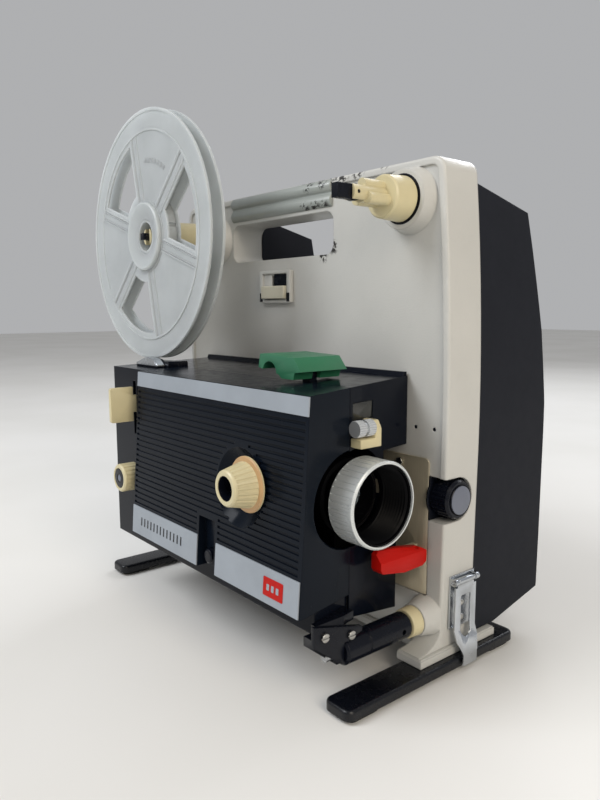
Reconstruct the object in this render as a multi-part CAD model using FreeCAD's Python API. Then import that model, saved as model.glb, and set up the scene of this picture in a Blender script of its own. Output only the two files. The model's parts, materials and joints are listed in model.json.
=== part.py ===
import FreeCAD, Part
import math
import os

V = FreeCAD.Vector

# ---------------------------------------------------------------------------
# Film projector, millimetres.
# Drawing frame: +X is the direction of projection, +Y runs from the operator's
# side to the back cover and +Z is up.  X = 0 is the lens end of the ribbed
# cover, Y = 0 is the operator's face of the cast frame and Z = 0 is the floor.
# ORIGIN is the middle of the base in that frame: every piece is moved by it
# before it is written, so the part stands on its own origin.
# ---------------------------------------------------------------------------
ORIGIN = V(-144.9, -4.5, 0)

# Cast frame: a tall, slightly bowed plate with a carrying window at the top
FRAME_REAR = -264.0
FRAME_TOP = 293.0
FRAME_BOTTOM = 13.0
FRAME_DEPTH = 28.5
FRAME_WALL = 2.6
FRAME_CORNER = 9.0
FRAME_EDGE_R = 1.8
FACE_RECESS = 1.2
RIM = 4.5
FRONT_TOP_X = 5.2
FRONT_BOW = (9.9, 220.0)
FRONT_KNEE = (11.6, 130.0)
FRONT_BOTTOM_X = 9.5
WINDOW = (-199.5, -85.0, 245.5, 273.0)
WINDOW_CORNER = 7.0
RAIL_HEIGHTS = (279.6, 288.5)
RAIL_WIDTH = 8.6
RAIL_STAND_OUT = 1.4
TRAY_HEIGHT = 5.0
TRAY_BOTTOM = 8.0
# the tray's front end widens into a toe towards the operator
TOE_X = (-6.3, FRONT_BOTTOM_X + 2.4)
TOE_Y = -19.3

# Back cover
COVER_OUTLINE = [(28.5, 280.7), (79.4, 268.0), (93.3, 196.0), (98.6, 150.0), (100.6, 60.0),
                 (101.0, 25.0), (53.0, 14.0), (28.5, 13.5)]
COVER_WALL = 2.2
COVER_STEP = 1.0

# Mechanism housing and its ribbed cover
HOUSING_REAR = -233.0
HOUSING_FRONT_Y = -85.0
HOUSING_TOP = 171.4
HOUSING_BOTTOM = 43.5
LOWER_EDGE_Z = 31.0
HOUSING_WALL = 2.0
SEAM_Y = -57.0
SEAM_Z = 169.6
END_SLOPE = 0.2
END_START_Y = -94.0
RIBBED_REAR = -183.0
RIBBED_TOP = (-89.9, 168.4)
RIBBED_BOTTOM = (-98.0, 56.8)
RIBBED_WALL = 2.2
RIB_COUNT = 22
RIB_FIRST_Z = 78.6
RIB_PITCH = 3.62
STRIP_HEIGHT = 10.0
PLATE_HEIGHT = 19.0
COVER_TRAVEL_GAP = 0.3

# Optical axis and lens
LENS_Y = -51.0
LENS_Z = 109.5
LENS_RING_R = 23.4
LENS_RING_FRONT = 12.4
LENS_RING_REAR = -6.0
LENS_HOLE_R = 26.8
RING_GROOVES = 40
BARREL_R = 17.5

# Spindles and reel
SUPPLY = (-19.0, 271.0)
TAKEUP = (-219.6, 263.2)
SPINDLE_R = 6.3
DRUM_R = 12.6
FINGER_R = 3.2
FINGER_SPREAD = 5.0
SHAFT_R = 4.0
REEL_R = 89.0
REEL_FRONT_Y = -62.7
REEL_REAR_Y = -51.2
REEL_SHEET = 1.3
REEL_CORE_R = 30.0
REEL_HUB_R = 23.0
REEL_OPEN_START = 33.0
REEL_TURN = 12.3
SPOKE_RIDGES = (-4.1, 4.1)

# Feet
FOOT_WIDTH = 20.0
FOOT_CORNER = 5.0
FOOT_LENGTH = 144.6
FOOT_CENTRE_Y = -7.2
FOOT_HEIGHT = 7.7
FRONT_FOOT_X = 6.6
REAR_FOOT_X = -252.7
PAD_HEIGHT = 2.0

# Tilt mechanism in the base: a turned sleeve drives a rack on the front foot
TILT_X = -1.0
TILT_Z = 31.0
TILT_SLEEVE_R = 7.6
TILT_SHAFT_R = 2.5
PINION_TEETH = 12
PINION_PITCH_R = 6.0

FOOT_SLOTS = [(1.1, 6.3, 19.6, 26.4), (-13.0, -5.8, 7.5, 16.5)]
SHAFT_BEARINGS = (-173.0, -92.0)

# Controls
MAIN_KNOB = (-46.9, 116.6)
MAIN_KNOB_FRONT = -110.0
DISH = (-56.8, 114.3)
DISH_R = 22.4
DISH_DEPTH = 9.0
REAR_KNOB = (-202.0, 91.0)
TAB_X = -200.0
TAB_PIVOT = (-62.0, 144.0)
FRONT_KNOB = (11.0, 101.4)
FRONT_KNOB_R = 11.6
NOTCH_R = 13.0
LINER_WALL = 0.6
LEVER_PIVOT = (-49.0, 173.4)
FRAMING_PIVOT = (-4.0, 67.0)
CATCH_HINGE_Z = 53.0

# Drive train
SHUTTER_AXIS = (-40.0, 88.0)
SHUTTER_R = 28.0
MOTOR_AXIS = (62.0, 66.0)
MOTOR_PULLEY_R = 8.0
MAIN_PULLEY_R = 20.0
SMALL_PULLEY_R = 9.0
MOTOR_BELT_X = -146.0
SHUTTER_BELT_X = -160.0
BELT_WIDTH = 5.0
BELT_THICKNESS = 1.4
SPROCKET_AXIS = (-66.0, 150.0)

RUNNING_GAP = 0.05
BODY_GAP = 0.3

parts = {}


# ---------------------------------------------------------------------------
# Shape helpers
# ---------------------------------------------------------------------------
def box(x0, x1, y0, y1, z0, z1):
    return Part.makeBox(x1 - x0, y1 - y0, z1 - z0, V(x0, y0, z0))


def cyl(axis, centre, low, high, radius):
    """Cylinder along axis 'x', 'y' or 'z'; centre holds its other two coordinates in order."""
    length = high - low
    if axis == "x":
        return Part.makeCylinder(radius, length, V(low, centre[0], centre[1]), V(1, 0, 0))
    if axis == "y":
        return Part.makeCylinder(radius, length, V(centre[0], low, centre[1]), V(0, 1, 0))
    return Part.makeCylinder(radius, length, V(centre[0], centre[1], low), V(0, 0, 1))


def cone(axis, centre, low, high, r_low, r_high):
    length = high - low
    if axis == "x":
        return Part.makeCone(r_low, r_high, length, V(low, centre[0], centre[1]), V(1, 0, 0))
    if axis == "y":
        return Part.makeCone(r_low, r_high, length, V(centre[0], low, centre[1]), V(0, 1, 0))
    return Part.makeCone(r_low, r_high, length, V(centre[0], centre[1], low), V(0, 0, 1))


def tube(axis, centre, low, high, r_out, r_in):
    return cyl(axis, centre, low, high, r_out).cut(cyl(axis, centre, low - 1, high + 1, r_in))


def prism(plane, points, low, high):
    """Straight prism of a polygon drawn in plane 'yz', 'xz' or 'xy'."""
    if plane == "yz":
        corners = [V(low, a, b) for a, b in points]
        sweep = V(high - low, 0, 0)
    elif plane == "xz":
        corners = [V(a, low, b) for a, b in points]
        sweep = V(0, high - low, 0)
    else:
        corners = [V(a, b, low) for a, b in points]
        sweep = V(0, 0, high - low)
    wire = Part.makePolygon(corners + [corners[0]])
    return Part.Face(wire).extrude(sweep)


def turned(axis, centre, profile):
    """Solid of revolution: profile is (position along the axis, radius) from end to end."""
    ends = [(profile[0][0], 0.0)] + list(profile) + [(profile[-1][0], 0.0)]
    points = []
    for along, radius in ends:
        if axis == "x":
            point = V(along, centre[0], centre[1] + radius)
        else:
            point = V(centre[0], along, centre[1] + radius)
        if not points or (point - points[-1]).Length > 1e-6:
            points.append(point)
    face = Part.Face(Part.makePolygon(points + [points[0]]))
    if axis == "x":
        return face.revolve(V(0, centre[0], centre[1]), V(1, 0, 0), 360)
    return face.revolve(V(centre[0], 0, centre[1]), V(0, 1, 0), 360)


def slab(x_mid, width, y_mid, length, z0, z1, corner):
    """Long flat bar along Y with rounded corners."""
    half_x = width / 2
    half_y = length / 2
    inner_x = half_x - corner
    inner_y = half_y - corner
    solid = box(x_mid - inner_x, x_mid + inner_x, y_mid - half_y, y_mid + half_y, z0, z1)
    solid = solid.fuse(box(x_mid - half_x, x_mid + half_x, y_mid - inner_y, y_mid + inner_y, z0, z1))
    for x in (x_mid - inner_x, x_mid + inner_x):
        for y in (y_mid - inner_y, y_mid + inner_y):
            solid = solid.fuse(cyl("z", (x, y), z0, z1, corner))
    return solid.removeSplitter()


def rounded_rect(x0, x1, z0, z1, radius, y0, y1):
    """Block along Y with a rectangle of rounded corners as its section."""
    solid = box(x0 + radius, x1 - radius, y0, y1, z0, z1)
    solid = solid.fuse(box(x0, x1, y0, y1, z0 + radius, z1 - radius))
    for x in (x0 + radius, x1 - radius):
        for z in (z0 + radius, z1 - radius):
            solid = solid.fuse(cyl("y", (x, z), y0, y1, radius))
    return solid.removeSplitter()


def fluted(axis, centre, low, high, radius, count, flute_r, sink):
    """Cylinder whose side carries evenly spaced round flutes."""
    solid = cyl(axis, centre, low, high, radius)
    cutters = []
    for i in range(count):
        angle = 2 * math.pi * i / count
        reach = radius + flute_r - sink
        spot = (centre[0] + reach * math.cos(angle), centre[1] + reach * math.sin(angle))
        cutters.append(cyl(axis, spot, low - 1, high + 1, flute_r))
    return solid.cut(Part.makeCompound(cutters))


def fuse_all(solids):
    result = solids[0]
    for solid in solids[1:]:
        result = result.fuse(solid)
    return result.removeSplitter()


def rounded(solid, radius, chosen):
    """Round the edges for which chosen(edge) is true."""
    edges = [edge for edge in solid.Edges if chosen(edge)]
    return solid.makeFillet(radius, edges)


def screw_head(axis, spot, low, high, radius):
    """Round screw head with a straight slot in its free (outer) face; low is the free face."""
    head = cyl(axis, spot, min(low, high), max(low, high), radius)
    slot_depth = 0.6
    outer = (low, low + slot_depth) if low < high else (low - slot_depth, low + 0.1)
    if axis == "y":
        slot = box(spot[0] - radius - 1, spot[0] + radius + 1, outer[0], outer[1],
                   spot[1] - 0.4, spot[1] + 0.4)
    else:
        slot = box(outer[0], outer[1], spot[0] - radius - 1, spot[0] + radius + 1,
                   spot[1] - 0.4, spot[1] + 0.4)
    return head.cut(slot)


# ---------------------------------------------------------------------------
# Outlines that several pieces share
# ---------------------------------------------------------------------------
def frame_block(inset, y0, y1):
    """The frame's bowed outline, shrunk by inset, as a block from y0 to y1."""
    r = FRAME_CORNER
    top = FRAME_TOP
    low = FRAME_BOTTOM
    rear = FRAME_REAR
    start = V(rear, y0, low)
    rear_top = V(rear, y0, top - r)
    rear_mid = V(rear + r * (1 - math.sqrt(0.5)), y0, top - r * (1 - math.sqrt(0.5)))
    top_rear = V(rear + r, y0, top)
    top_front = V(FRONT_TOP_X - r, y0, top)
    front_mid = V(FRONT_TOP_X - r * (1 - math.sqrt(0.5)), y0, top - r * (1 - math.sqrt(0.5)))
    front_top = V(FRONT_TOP_X, y0, top - r)
    bow = V(FRONT_BOW[0], y0, FRONT_BOW[1])
    knee = V(FRONT_KNEE[0], y0, FRONT_KNEE[1])
    front_low = V(FRONT_BOTTOM_X, y0, low)
    edges = [
        Part.makeLine(start, rear_top),
        Part.Arc(rear_top, rear_mid, top_rear).toShape(),
        Part.makeLine(top_rear, top_front),
        Part.Arc(top_front, front_mid, front_top).toShape(),
        Part.Arc(front_top, bow, knee).toShape(),
        Part.makeLine(knee, front_low),
        Part.makeLine(front_low, start),
    ]
    wire = Part.Wire(edges)
    if inset > 0:
        wire = wire.makeOffset2D(-inset)
    return Part.Face(wire).extrude(V(0, y1 - y0, 0))


def lens_end_x(y):
    """The lens end of the housing leans back from the ribbed cover to the frame."""
    return -END_SLOPE * (y - END_START_Y)


def end_slab(y0, y1, z0, z1, back, front):
    """Block parallel to the leaning lens end, between two offsets from that face."""
    points = [(lens_end_x(y0) + back, y0), (lens_end_x(y1) + back, y1),
              (lens_end_x(y1) + front, y1), (lens_end_x(y0) + front, y0)]
    return prism("xy", points, z0, z1)


def ribbed_y(z):
    """The ribbed face leans outwards towards its lower edge."""
    share = (z - RIBBED_BOTTOM[1]) / (RIBBED_TOP[1] - RIBBED_BOTTOM[1])
    return RIBBED_BOTTOM[0] + share * (RIBBED_TOP[0] - RIBBED_BOTTOM[0])


def ribbed_slab(x0, x1, z0, z1, out, deep):
    """Block parallel to the ribbed face, from 'out' in front of it to 'deep' behind it."""
    points = [(ribbed_y(z0) - out, z0), (ribbed_y(z1) - out, z1),
              (ribbed_y(z1) + deep, z1), (ribbed_y(z0) + deep, z0)]
    return prism("yz", points, x0, x1)


def shrunk(points, inset):
    """A polygon's outline moved inwards by inset."""
    corners = [V(a, b, 0) for a, b in points]
    wire = Part.makePolygon(corners + [corners[0]]).makeOffset2D(-inset, 2)
    ordered = wire.OrderedVertexes
    return [(v.X, v.Y) for v in ordered]


# ---------------------------------------------------------------------------
# Frame, base and back cover
# ---------------------------------------------------------------------------
def make_toe_flare():
    """Concave flare that joins the frame's face to the tray's toe."""
    low = TRAY_BOTTOM + TRAY_HEIGHT
    reach, rise = 17.0, 12.0
    points = [(3.0, low), (TOE_Y + 1.0, low), (TOE_Y + 1.0, low + 0.6)]
    for i in range(9):
        turn = math.radians(90 - 90 * i / 8)
        points.append((reach * (math.cos(turn) - 1), low + 0.6 + rise * (1 - math.sin(turn))))
    points.append((3.0, low + 0.6 + rise))
    return prism("yz", points, TOE_X[0] + 0.7, FRONT_BOTTOM_X)


def make_main_frame():
    shell = rounded(frame_block(0, 0, FRAME_DEPTH), FRAME_EDGE_R,
                    lambda e: all(abs(v.Y) < 0.01 for v in e.Vertexes))
    wall_back = FACE_RECESS + FRAME_WALL
    cavity = frame_block(FRAME_WALL, wall_back, FRAME_DEPTH + 1)
    x0, x1, z0, z1 = WINDOW
    tunnel_wall = 2.4
    tunnel = rounded_rect(x0 - tunnel_wall, x1 + tunnel_wall, z0 - tunnel_wall, z1 + tunnel_wall,
                          WINDOW_CORNER + tunnel_wall, 0, FRAME_DEPTH)
    knob_well = box(-4.0, 11.0, 0.5, FRAME_DEPTH, FRONT_KNOB[1] - 17, FRONT_KNOB[1] + 17)
    cavity = cavity.cut(tunnel)
    rear_bearing = box(-171.0, -166.5, 1, FRONT_KNOB[0] + 7, FRONT_KNOB[1] - 7, FRONT_KNOB[1] + 7)
    cavity = cavity.cut(rear_bearing)
    cavity = cavity.cut(knob_well)
    for spot, depth in ((SUPPLY, 14.0), (TAKEUP, 14.0)):
        cavity = cavity.cut(cyl("y", spot, 0, depth, 9.0))
    shell = shell.cut(cavity)
    low_block = box(-70.0, 30.0, -2, 2, 0, FRONT_KNOB[1] - NOTCH_R)
    shell = shell.cut(frame_block(RIM, -1, FACE_RECESS).cut(low_block))
    # the handle's rails lie over the top bar, where the rim stops
    shell = shell.cut(box(x0 + 1.0, x1 - 1.0, -1, FACE_RECESS, z1, FRAME_TOP + 1))
    # raised bosses that carry the two spindles
    shell = shell.fuse(cone("y", SUPPLY, -7.5, FACE_RECESS + 0.5, 16.5, 19.0))
    shell = shell.fuse(cone("y", TAKEUP, -7.5, FACE_RECESS + 0.5, 16.5, 19.0))
    # round boss for the tilt shaft, low at the lens end
    tilt = (TILT_X, TILT_Z)
    shell = shell.fuse(cone("y", tilt, -11.6, FACE_RECESS + 0.5, 9.2, 12.4).common(
        box(-20, FRONT_BOTTOM_X, -15, 5, 10, 60)))
    shell = shell.fuse(make_toe_flare())
    shell = shell.cut(rounded_rect(x0, x1, z0, z1, WINDOW_CORNER, -2, FRAME_DEPTH + 2))
    for spot in (SUPPLY, TAKEUP):
        shell = shell.cut(cyl("y", spot, -20, FRAME_DEPTH, SHAFT_R + RUNNING_GAP))
    shell = shell.cut(cyl("y", tilt, -20, 20, TILT_SHAFT_R + RUNNING_GAP))
    # U-shaped notch for the front knob, open towards the operator
    ky, kz = FRONT_KNOB
    notch = cyl("x", (ky, kz), -1.5, 20, NOTCH_R)
    notch = notch.fuse(box(-1.5, 20, -5, ky, kz - NOTCH_R, kz + NOTCH_R))
    shell = shell.cut(notch)
    shell = shell.cut(cyl("x", (ky, kz), -10, 5, 3.0 + RUNNING_GAP))
    # shallow pocket for the steel gate plate
    shell = shell.cut(box(-62, -1.2, -1, FACE_RECESS, 42.0, 125.0))
    # rear bearing of the lay shaft, slots for belt and switch stem, two lid locating holes
    shell = shell.cut(cyl("x", FRONT_KNOB, -180, -160, 3.0 + RUNNING_GAP))
    shell = shell.cut(box(SHUTTER_BELT_X - 6, MOTOR_BELT_X + 6, -1, 6, 66, 126))
    shell = shell.cut(box(-149, -138, -1, 6, 217, 236))
    for spot in ((-12.8, 141.8), (1.0, 141.9)):
        shell = shell.cut(cyl("y", spot, -1, 3.0, 1.1))
    for slot in FOOT_SLOTS:
        shell = shell.cut(box(*slot, 10, 20))
    # pillars with the shutter shaft's bearings
    for x in SHAFT_BEARINGS:
        pillar = box(x, x + 6.0, SHUTTER_AXIS[0] - 6, FACE_RECESS, SHUTTER_AXIS[1] - 6,
                     SHUTTER_AXIS[1] + 6)
        shell = shell.fuse(pillar.cut(cyl("x", SHUTTER_AXIS, x - 5, x + 10, 2.5 + RUNNING_GAP)))
    shell = shell.cut(cyl("y", SPROCKET_AXIS, -5, 10, 2.5 + RUNNING_GAP))
    return shell.removeSplitter()


def tray_outline(inset):
    left, right = TOE_X
    return [(FRAME_REAR, inset - 2.0), (left, inset - 2.0), (left, TOE_Y + inset),
            (right - inset, TOE_Y + inset), (right - inset, 50 - inset), (FRAME_REAR, 50 - inset)]


def make_base_tray():
    tray = prism("xy", tray_outline(0), TRAY_BOTTOM, TRAY_BOTTOM + 4.2)
    tray = tray.fuse(prism("xy", tray_outline(0.7), TRAY_BOTTOM + 4.2, TRAY_BOTTOM + TRAY_HEIGHT))
    tray = tray.cut(box(FRAME_REAR + 4, 0, 4, 47, TRAY_BOTTOM + 2.4, TRAY_BOTTOM + 6))
    for slot in FOOT_SLOTS:
        tray = tray.cut(box(*slot, 5, 20))
    return tray.removeSplitter()


def make_handle_grip():
    """Two rounded rails joined by a web, let into the recessed face of the top bar."""
    x0, x1 = WINDOW[0] + 1.0, WINDOW[1] - 1.0
    half = RAIL_WIDTH / 2
    depth = FACE_RECESS + RAIL_STAND_OUT
    radius = (half ** 2 + depth ** 2) / (2 * depth)
    solids = [box(x0, x1, FACE_RECESS - 0.8, FACE_RECESS, RAIL_HEIGHTS[0], RAIL_HEIGHTS[1])]
    for z_mid in RAIL_HEIGHTS:
        solids.append(cyl("x", (radius - RAIL_STAND_OUT, z_mid), x0, x1, radius))
    keep = box(x0 - 1, x1 + 1, -5, FACE_RECESS - 0.001, WINDOW[3], FRAME_TOP + 1)
    return fuse_all(solids).common(keep)


def make_back_cover():
    profile = COVER_OUTLINE
    outer = prism("yz", profile, FRAME_REAR - 5, 20)
    outer = outer.common(frame_block(COVER_STEP, FRAME_DEPTH, 110))
    inner = prism("yz", shrunk(profile, COVER_WALL), FRAME_REAR - 5, 20)
    inner = inner.fuse(prism("yz", [(FRAME_DEPTH - 1, 277.7), (FRAME_DEPTH + 4, 276.6),
                                    (FRAME_DEPTH + 4, 16.6), (FRAME_DEPTH - 1, 15.9)],
                             FRAME_REAR - 5, 20))
    inner = inner.common(frame_block(COVER_STEP + COVER_WALL, FRAME_DEPTH - 1, 110))
    # the hand window runs on through the cover as an open notch with its own walls
    x0, x1, z0 = WINDOW[:3]
    notch = box(x0 + 1.0, x1 + 6.0, FRAME_DEPTH - 2, 120, z0 - 8.0, 300)
    notch_wall = box(x0 + 1.0 - COVER_WALL, x1 + 6.0 + COVER_WALL, FRAME_DEPTH - 3, 121,
                     z0 - 8.0 - COVER_WALL, 301)
    shell = outer.cut(inner.cut(notch_wall)).cut(notch)
    # cooling louvres near the top of the flat back and low at the lamp end
    for i in range(9):
        z = 60.0 + 7.0 * i
        shell = shell.cut(box(-150, -60, 90, 110, z, z + 2.6))
    # rectangular well for the mains inlet in the rear end
    shell = shell.cut(box(FRAME_REAR - 5, FRAME_REAR + 20, 44.7, 75.3, 29.7, 52.3))
    return shell.removeSplitter()


def make_power_inlet():
    body = box(FRAME_REAR + 0.4, FRAME_REAR + 18, 45, 75, 30, 52)
    body = body.cut(box(FRAME_REAR - 1, FRAME_REAR + 14, 49, 71, 34, 48))
    for side in (-1, 1):
        y = 60 + 6 * side
        body = body.fuse(box(FRAME_REAR + 3, FRAME_REAR + 17, y - 0.9, y + 0.9, 38.5, 43.5))
    return body


def make_feet():
    top = FOOT_HEIGHT
    front = slab(FRONT_FOOT_X, FOOT_WIDTH, FOOT_CENTRE_Y, FOOT_LENGTH, PAD_HEIGHT, top, FOOT_CORNER)
    front = rounded(front, 2.0, lambda e: all(abs(v.Z - top) < 0.01 for v in e.Vertexes)
                    and abs(e.CenterOfMass.z - top) < 0.01)
    parts["front_foot"] = fuse_all([front, make_tilt_rack()])
    rear = slab(REAR_FOOT_X, FOOT_WIDTH, FOOT_CENTRE_Y, FOOT_LENGTH, PAD_HEIGHT, TRAY_BOTTOM,
                FOOT_CORNER)
    rear = rounded(rear, 2.0, lambda e: abs(e.CenterOfMass.z - TRAY_BOTTOM) < 0.01)
    parts["rear_foot"] = rear
    for name, x in (("front_foot_pads", FRONT_FOOT_X), ("rear_foot_pads", REAR_FOOT_X)):
        pads = []
        for side in (-1, 1):
            y = FOOT_CENTRE_Y + side * (FOOT_LENGTH / 2 - 14)
            pads.append(slab(x, FOOT_WIDTH - 3, y, 22, 0, PAD_HEIGHT, FOOT_CORNER - 1))
        parts[name] = Part.makeCompound(pads)


def make_tilt_rack():
    """Post, cross piece and toothed leg that lift the frame off the front foot."""
    top = 64.0
    post = box(1.5, 5.9, 20.0, 26.0, FOOT_HEIGHT - 0.5, top)
    bridge = box(-12.5, 5.9, 8.0, 26.0, top - 4.0, top)
    pitch = 2 * math.pi * PINION_PITCH_R / PINION_TEETH
    pitch_x = TILT_X - PINION_PITCH_R
    leg = box(-12.5, pitch_x - 1.0, 8.0, 16.0, 18.0, top)
    teeth = []
    for i in range(-3, 9):
        z = TILT_Z + i * pitch
        teeth.append(prism("xz", [(pitch_x - 1.2, z - 0.85), (pitch_x + 0.75, z - 0.35),
                                  (pitch_x + 0.75, z + 0.35), (pitch_x - 1.2, z + 0.85)],
                           8.0, 16.0))
    return fuse_all([post, bridge, leg] + teeth)


def make_tilt_pinion():
    """Toothed wheel fixed on the tilt shaft; a tooth gap faces the rack at rest."""
    body = cyl("y", (TILT_X, TILT_Z), 8.0, 16.0, PINION_PITCH_R - 1.0)
    teeth = []
    for i in range(PINION_TEETH):
        angle = math.pi + (i + 0.5) * 2 * math.pi / PINION_TEETH
        ux, uz = math.cos(angle), math.sin(angle)
        points = []
        for radius, half in ((PINION_PITCH_R - 1.4, 0.75), (PINION_PITCH_R + 0.7, 0.35)):
            points.append((TILT_X + radius * ux - half * uz, TILT_Z + radius * uz + half * ux))
        for radius, half in ((PINION_PITCH_R + 0.7, -0.35), (PINION_PITCH_R - 1.4, -0.75)):
            points.append((TILT_X + radius * ux - half * uz, TILT_Z + radius * uz + half * ux))
        teeth.append(prism("xz", points, 8.0, 16.0))
    wheel = fuse_all([body] + teeth)
    return wheel.cut(cyl("y", (TILT_X, TILT_Z), 0, 30, TILT_SHAFT_R))


def make_tilt_parts():
    axis = (TILT_X, TILT_Z)
    parts["tilt_bush"] = turned("y", axis, [(-19.8, 7.9), (-19.2, 8.4), (-11.9, 8.7)]).cut(
        cyl("y", axis, -25, 5, TILT_SHAFT_R + RUNNING_GAP))
    sleeve = turned("y", axis, [(-70.0, 6.4), (-68.8, TILT_SLEEVE_R), (-54.0, TILT_SLEEVE_R),
                                (-53.5, TILT_SLEEVE_R - 0.6), (-52.6, TILT_SLEEVE_R - 0.6),
                                (-52.1, TILT_SLEEVE_R), (-21.4, TILT_SLEEVE_R), (-20.2, 6.8)])
    sleeve = sleeve.cut(cyl("y", axis, -90, 0, TILT_SHAFT_R))
    sleeve = sleeve.cut(cyl("x", (-27.5, TILT_Z), TILT_X + 4, 20, 1.5))
    parts["tilt_sleeve"] = sleeve
    parts["tilt_pinion"] = make_tilt_pinion().fuse(cyl("y", axis, -81.0, 18.5, TILT_SHAFT_R))
    # black plate under the ribbed cover's corner, and the wedge that bears the shaft's free end
    plate = prism("yz", [(-91.0, 52.0), (-57.5, 43.2), (-57.5, 40.6), (-70.4, 37.0), (-70.4, 26.5),
                         (-74.0, 27.5), (-91.0, 41.0)], 0.9, 3.6)
    wedge = prism("yz", [(-89.0, 43.2), (-70.4, 43.2), (-70.4, 25.5), (-73.5, 25.5),
                         (-89.0, 38.0)], -7.5, 0.9)
    foot = end_slab(-88.0, -60.0, 46.0, 51.0, -1.5, 6.0).cut(box(0.9, 20, -100, 0, 0, 100))
    bracket = fuse_all([plate, wedge, foot])
    bracket = bracket.cut(cyl("y", axis, -70.4, -50, TILT_SLEEVE_R + 0.6))
    parts["tilt_bracket"] = bracket.cut(cyl("y", axis, -81.5, -60, TILT_SHAFT_R + RUNNING_GAP))


# ---------------------------------------------------------------------------
# Mechanism housing and ribbed cover
# ---------------------------------------------------------------------------
def housing_mass(inset):
    """Rear block, body behind the ribbed cover and lower tray, all shrunk by inset."""
    d = inset
    top = [(0, HOUSING_TOP - d), (SEAM_Y, SEAM_Z - d), (HOUSING_FRONT_Y + d, 168.6 - d)]
    rear = prism("yz", top + [(HOUSING_FRONT_Y + d, HOUSING_BOTTOM + d), (0, HOUSING_BOTTOM + d)],
                 HOUSING_REAR + d, RIBBED_REAR - COVER_TRAVEL_GAP - d)
    plan = [(RIBBED_REAR - 2, 0), (RIBBED_REAR - 2, SEAM_Y), (lens_end_x(SEAM_Y) - d, SEAM_Y),
            (lens_end_x(0) - d, 0)]
    body = prism("xy", plan, 20, 180)
    body = body.common(prism("yz", [(0, HOUSING_TOP - d), (SEAM_Y, SEAM_Z - d),
                                    (SEAM_Y, HOUSING_BOTTOM + d), (0, LOWER_EDGE_Z + d)], -300, 20))
    plan = [(RIBBED_REAR - 2, SEAM_Y - 1), (RIBBED_REAR - 2, HOUSING_FRONT_Y + d),
            (lens_end_x(HOUSING_FRONT_Y) - 1.5 - d, HOUSING_FRONT_Y + d),
            (lens_end_x(SEAM_Y - 1) - 1.5 - d, SEAM_Y - 1)]
    tray = prism("xy", plan, HOUSING_BOTTOM + d, RIBBED_BOTTOM[1] - COVER_TRAVEL_GAP - d)
    corner = box(-44 - d, 10, -24.5 - d, 1, 76.0 - d, 131.0 + d)
    corner = corner.fuse(box(-44 - d, 10, -10.0 - d, 1, 20, 80))
    return rear.fuse(body).fuse(tray).cut(corner)


def make_housing():
    shell = housing_mass(0)
    cavity = housing_mass(HOUSING_WALL)
    # the side towards the ribbed cover is open, and so is the side on the frame
    open_side = box(RIBBED_REAR + 6, -16, SEAM_Y - 4, SEAM_Y + 3, HOUSING_BOTTOM + 4, 166.5)
    open_side = open_side.common(prism("yz", [(SEAM_Y - 0.1, 57.0), (SEAM_Y + 3, 57.0),
                                              (SEAM_Y + 3, 166), (SEAM_Y - 0.1, 166)], -300, 20))
    shell = shell.cut(cavity).cut(open_side)
    tray_link = box(RIBBED_REAR + 6, -16, SEAM_Y - 3, SEAM_Y + 3, HOUSING_BOTTOM + 2, 54.0)
    shell = shell.cut(tray_link)
    lens_axis = (LENS_Y, LENS_Z)
    shell = shell.cut(cyl("x", lens_axis, -40, 10, LENS_HOLE_R))
    # smoked window in the lens end
    shell = shell.cut(end_slab(-54.5, -36.0, 151.5, 161.0, -4, 2))
    # slots for the ivory tab and the rear knob's shaft
    shell = shell.cut(box(TAB_X - 2.2, TAB_X + 2.2, HOUSING_FRONT_Y - 1, HOUSING_FRONT_Y + 4,
                          122.0, 160.0))
    shell = shell.cut(cyl("y", REAR_KNOB, HOUSING_FRONT_Y - 1, HOUSING_FRONT_Y + 4,
                          3.0 + RUNNING_GAP))
    # cooling slots in the rear end
    for i in range(8):
        z = 70.0 + 9.0 * i
        shell = shell.cut(box(HOUSING_REAR - 1, HOUSING_REAR + 4, -70, -15, z, z + 3.5))
    return shell.removeSplitter()


def make_housing_rim():
    """Raised rim where the housing's top meets the frame."""
    return prism("yz", [(-0.3, HOUSING_TOP), (-0.3, HOUSING_TOP + 2.4), (-2.6, HOUSING_TOP + 2.4),
                        (-3.6, HOUSING_TOP - 0.1)], HOUSING_REAR, lens_end_x(0) - 0.5).cut(
        prism("yz", [(0, HOUSING_TOP), (SEAM_Y, SEAM_Z), (SEAM_Y, 150), (0, 150)], -300, 20))


def ribbed_mass(inset):
    d = inset
    profile = [(SEAM_Y - COVER_TRAVEL_GAP, SEAM_Z - d), (RIBBED_TOP[0] + d, RIBBED_TOP[1] - d),
               (RIBBED_BOTTOM[0] + d, RIBBED_BOTTOM[1] + d),
               (SEAM_Y - COVER_TRAVEL_GAP, RIBBED_BOTTOM[1] + d)]
    if d > 0:
        profile[0] = (SEAM_Y + 2, SEAM_Z - d)
        profile[3] = (SEAM_Y + 2, RIBBED_BOTTOM[1] + d)
    mass = prism("yz", profile, RIBBED_REAR + d, 10)
    plan = [(RIBBED_REAR - 5, -110), (-d, -110), (-d, END_START_Y),
            (lens_end_x(SEAM_Y + 3) - d, SEAM_Y + 3), (RIBBED_REAR - 5, SEAM_Y + 3)]
    return mass.common(prism("xy", plan, 0, 200))


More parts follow.
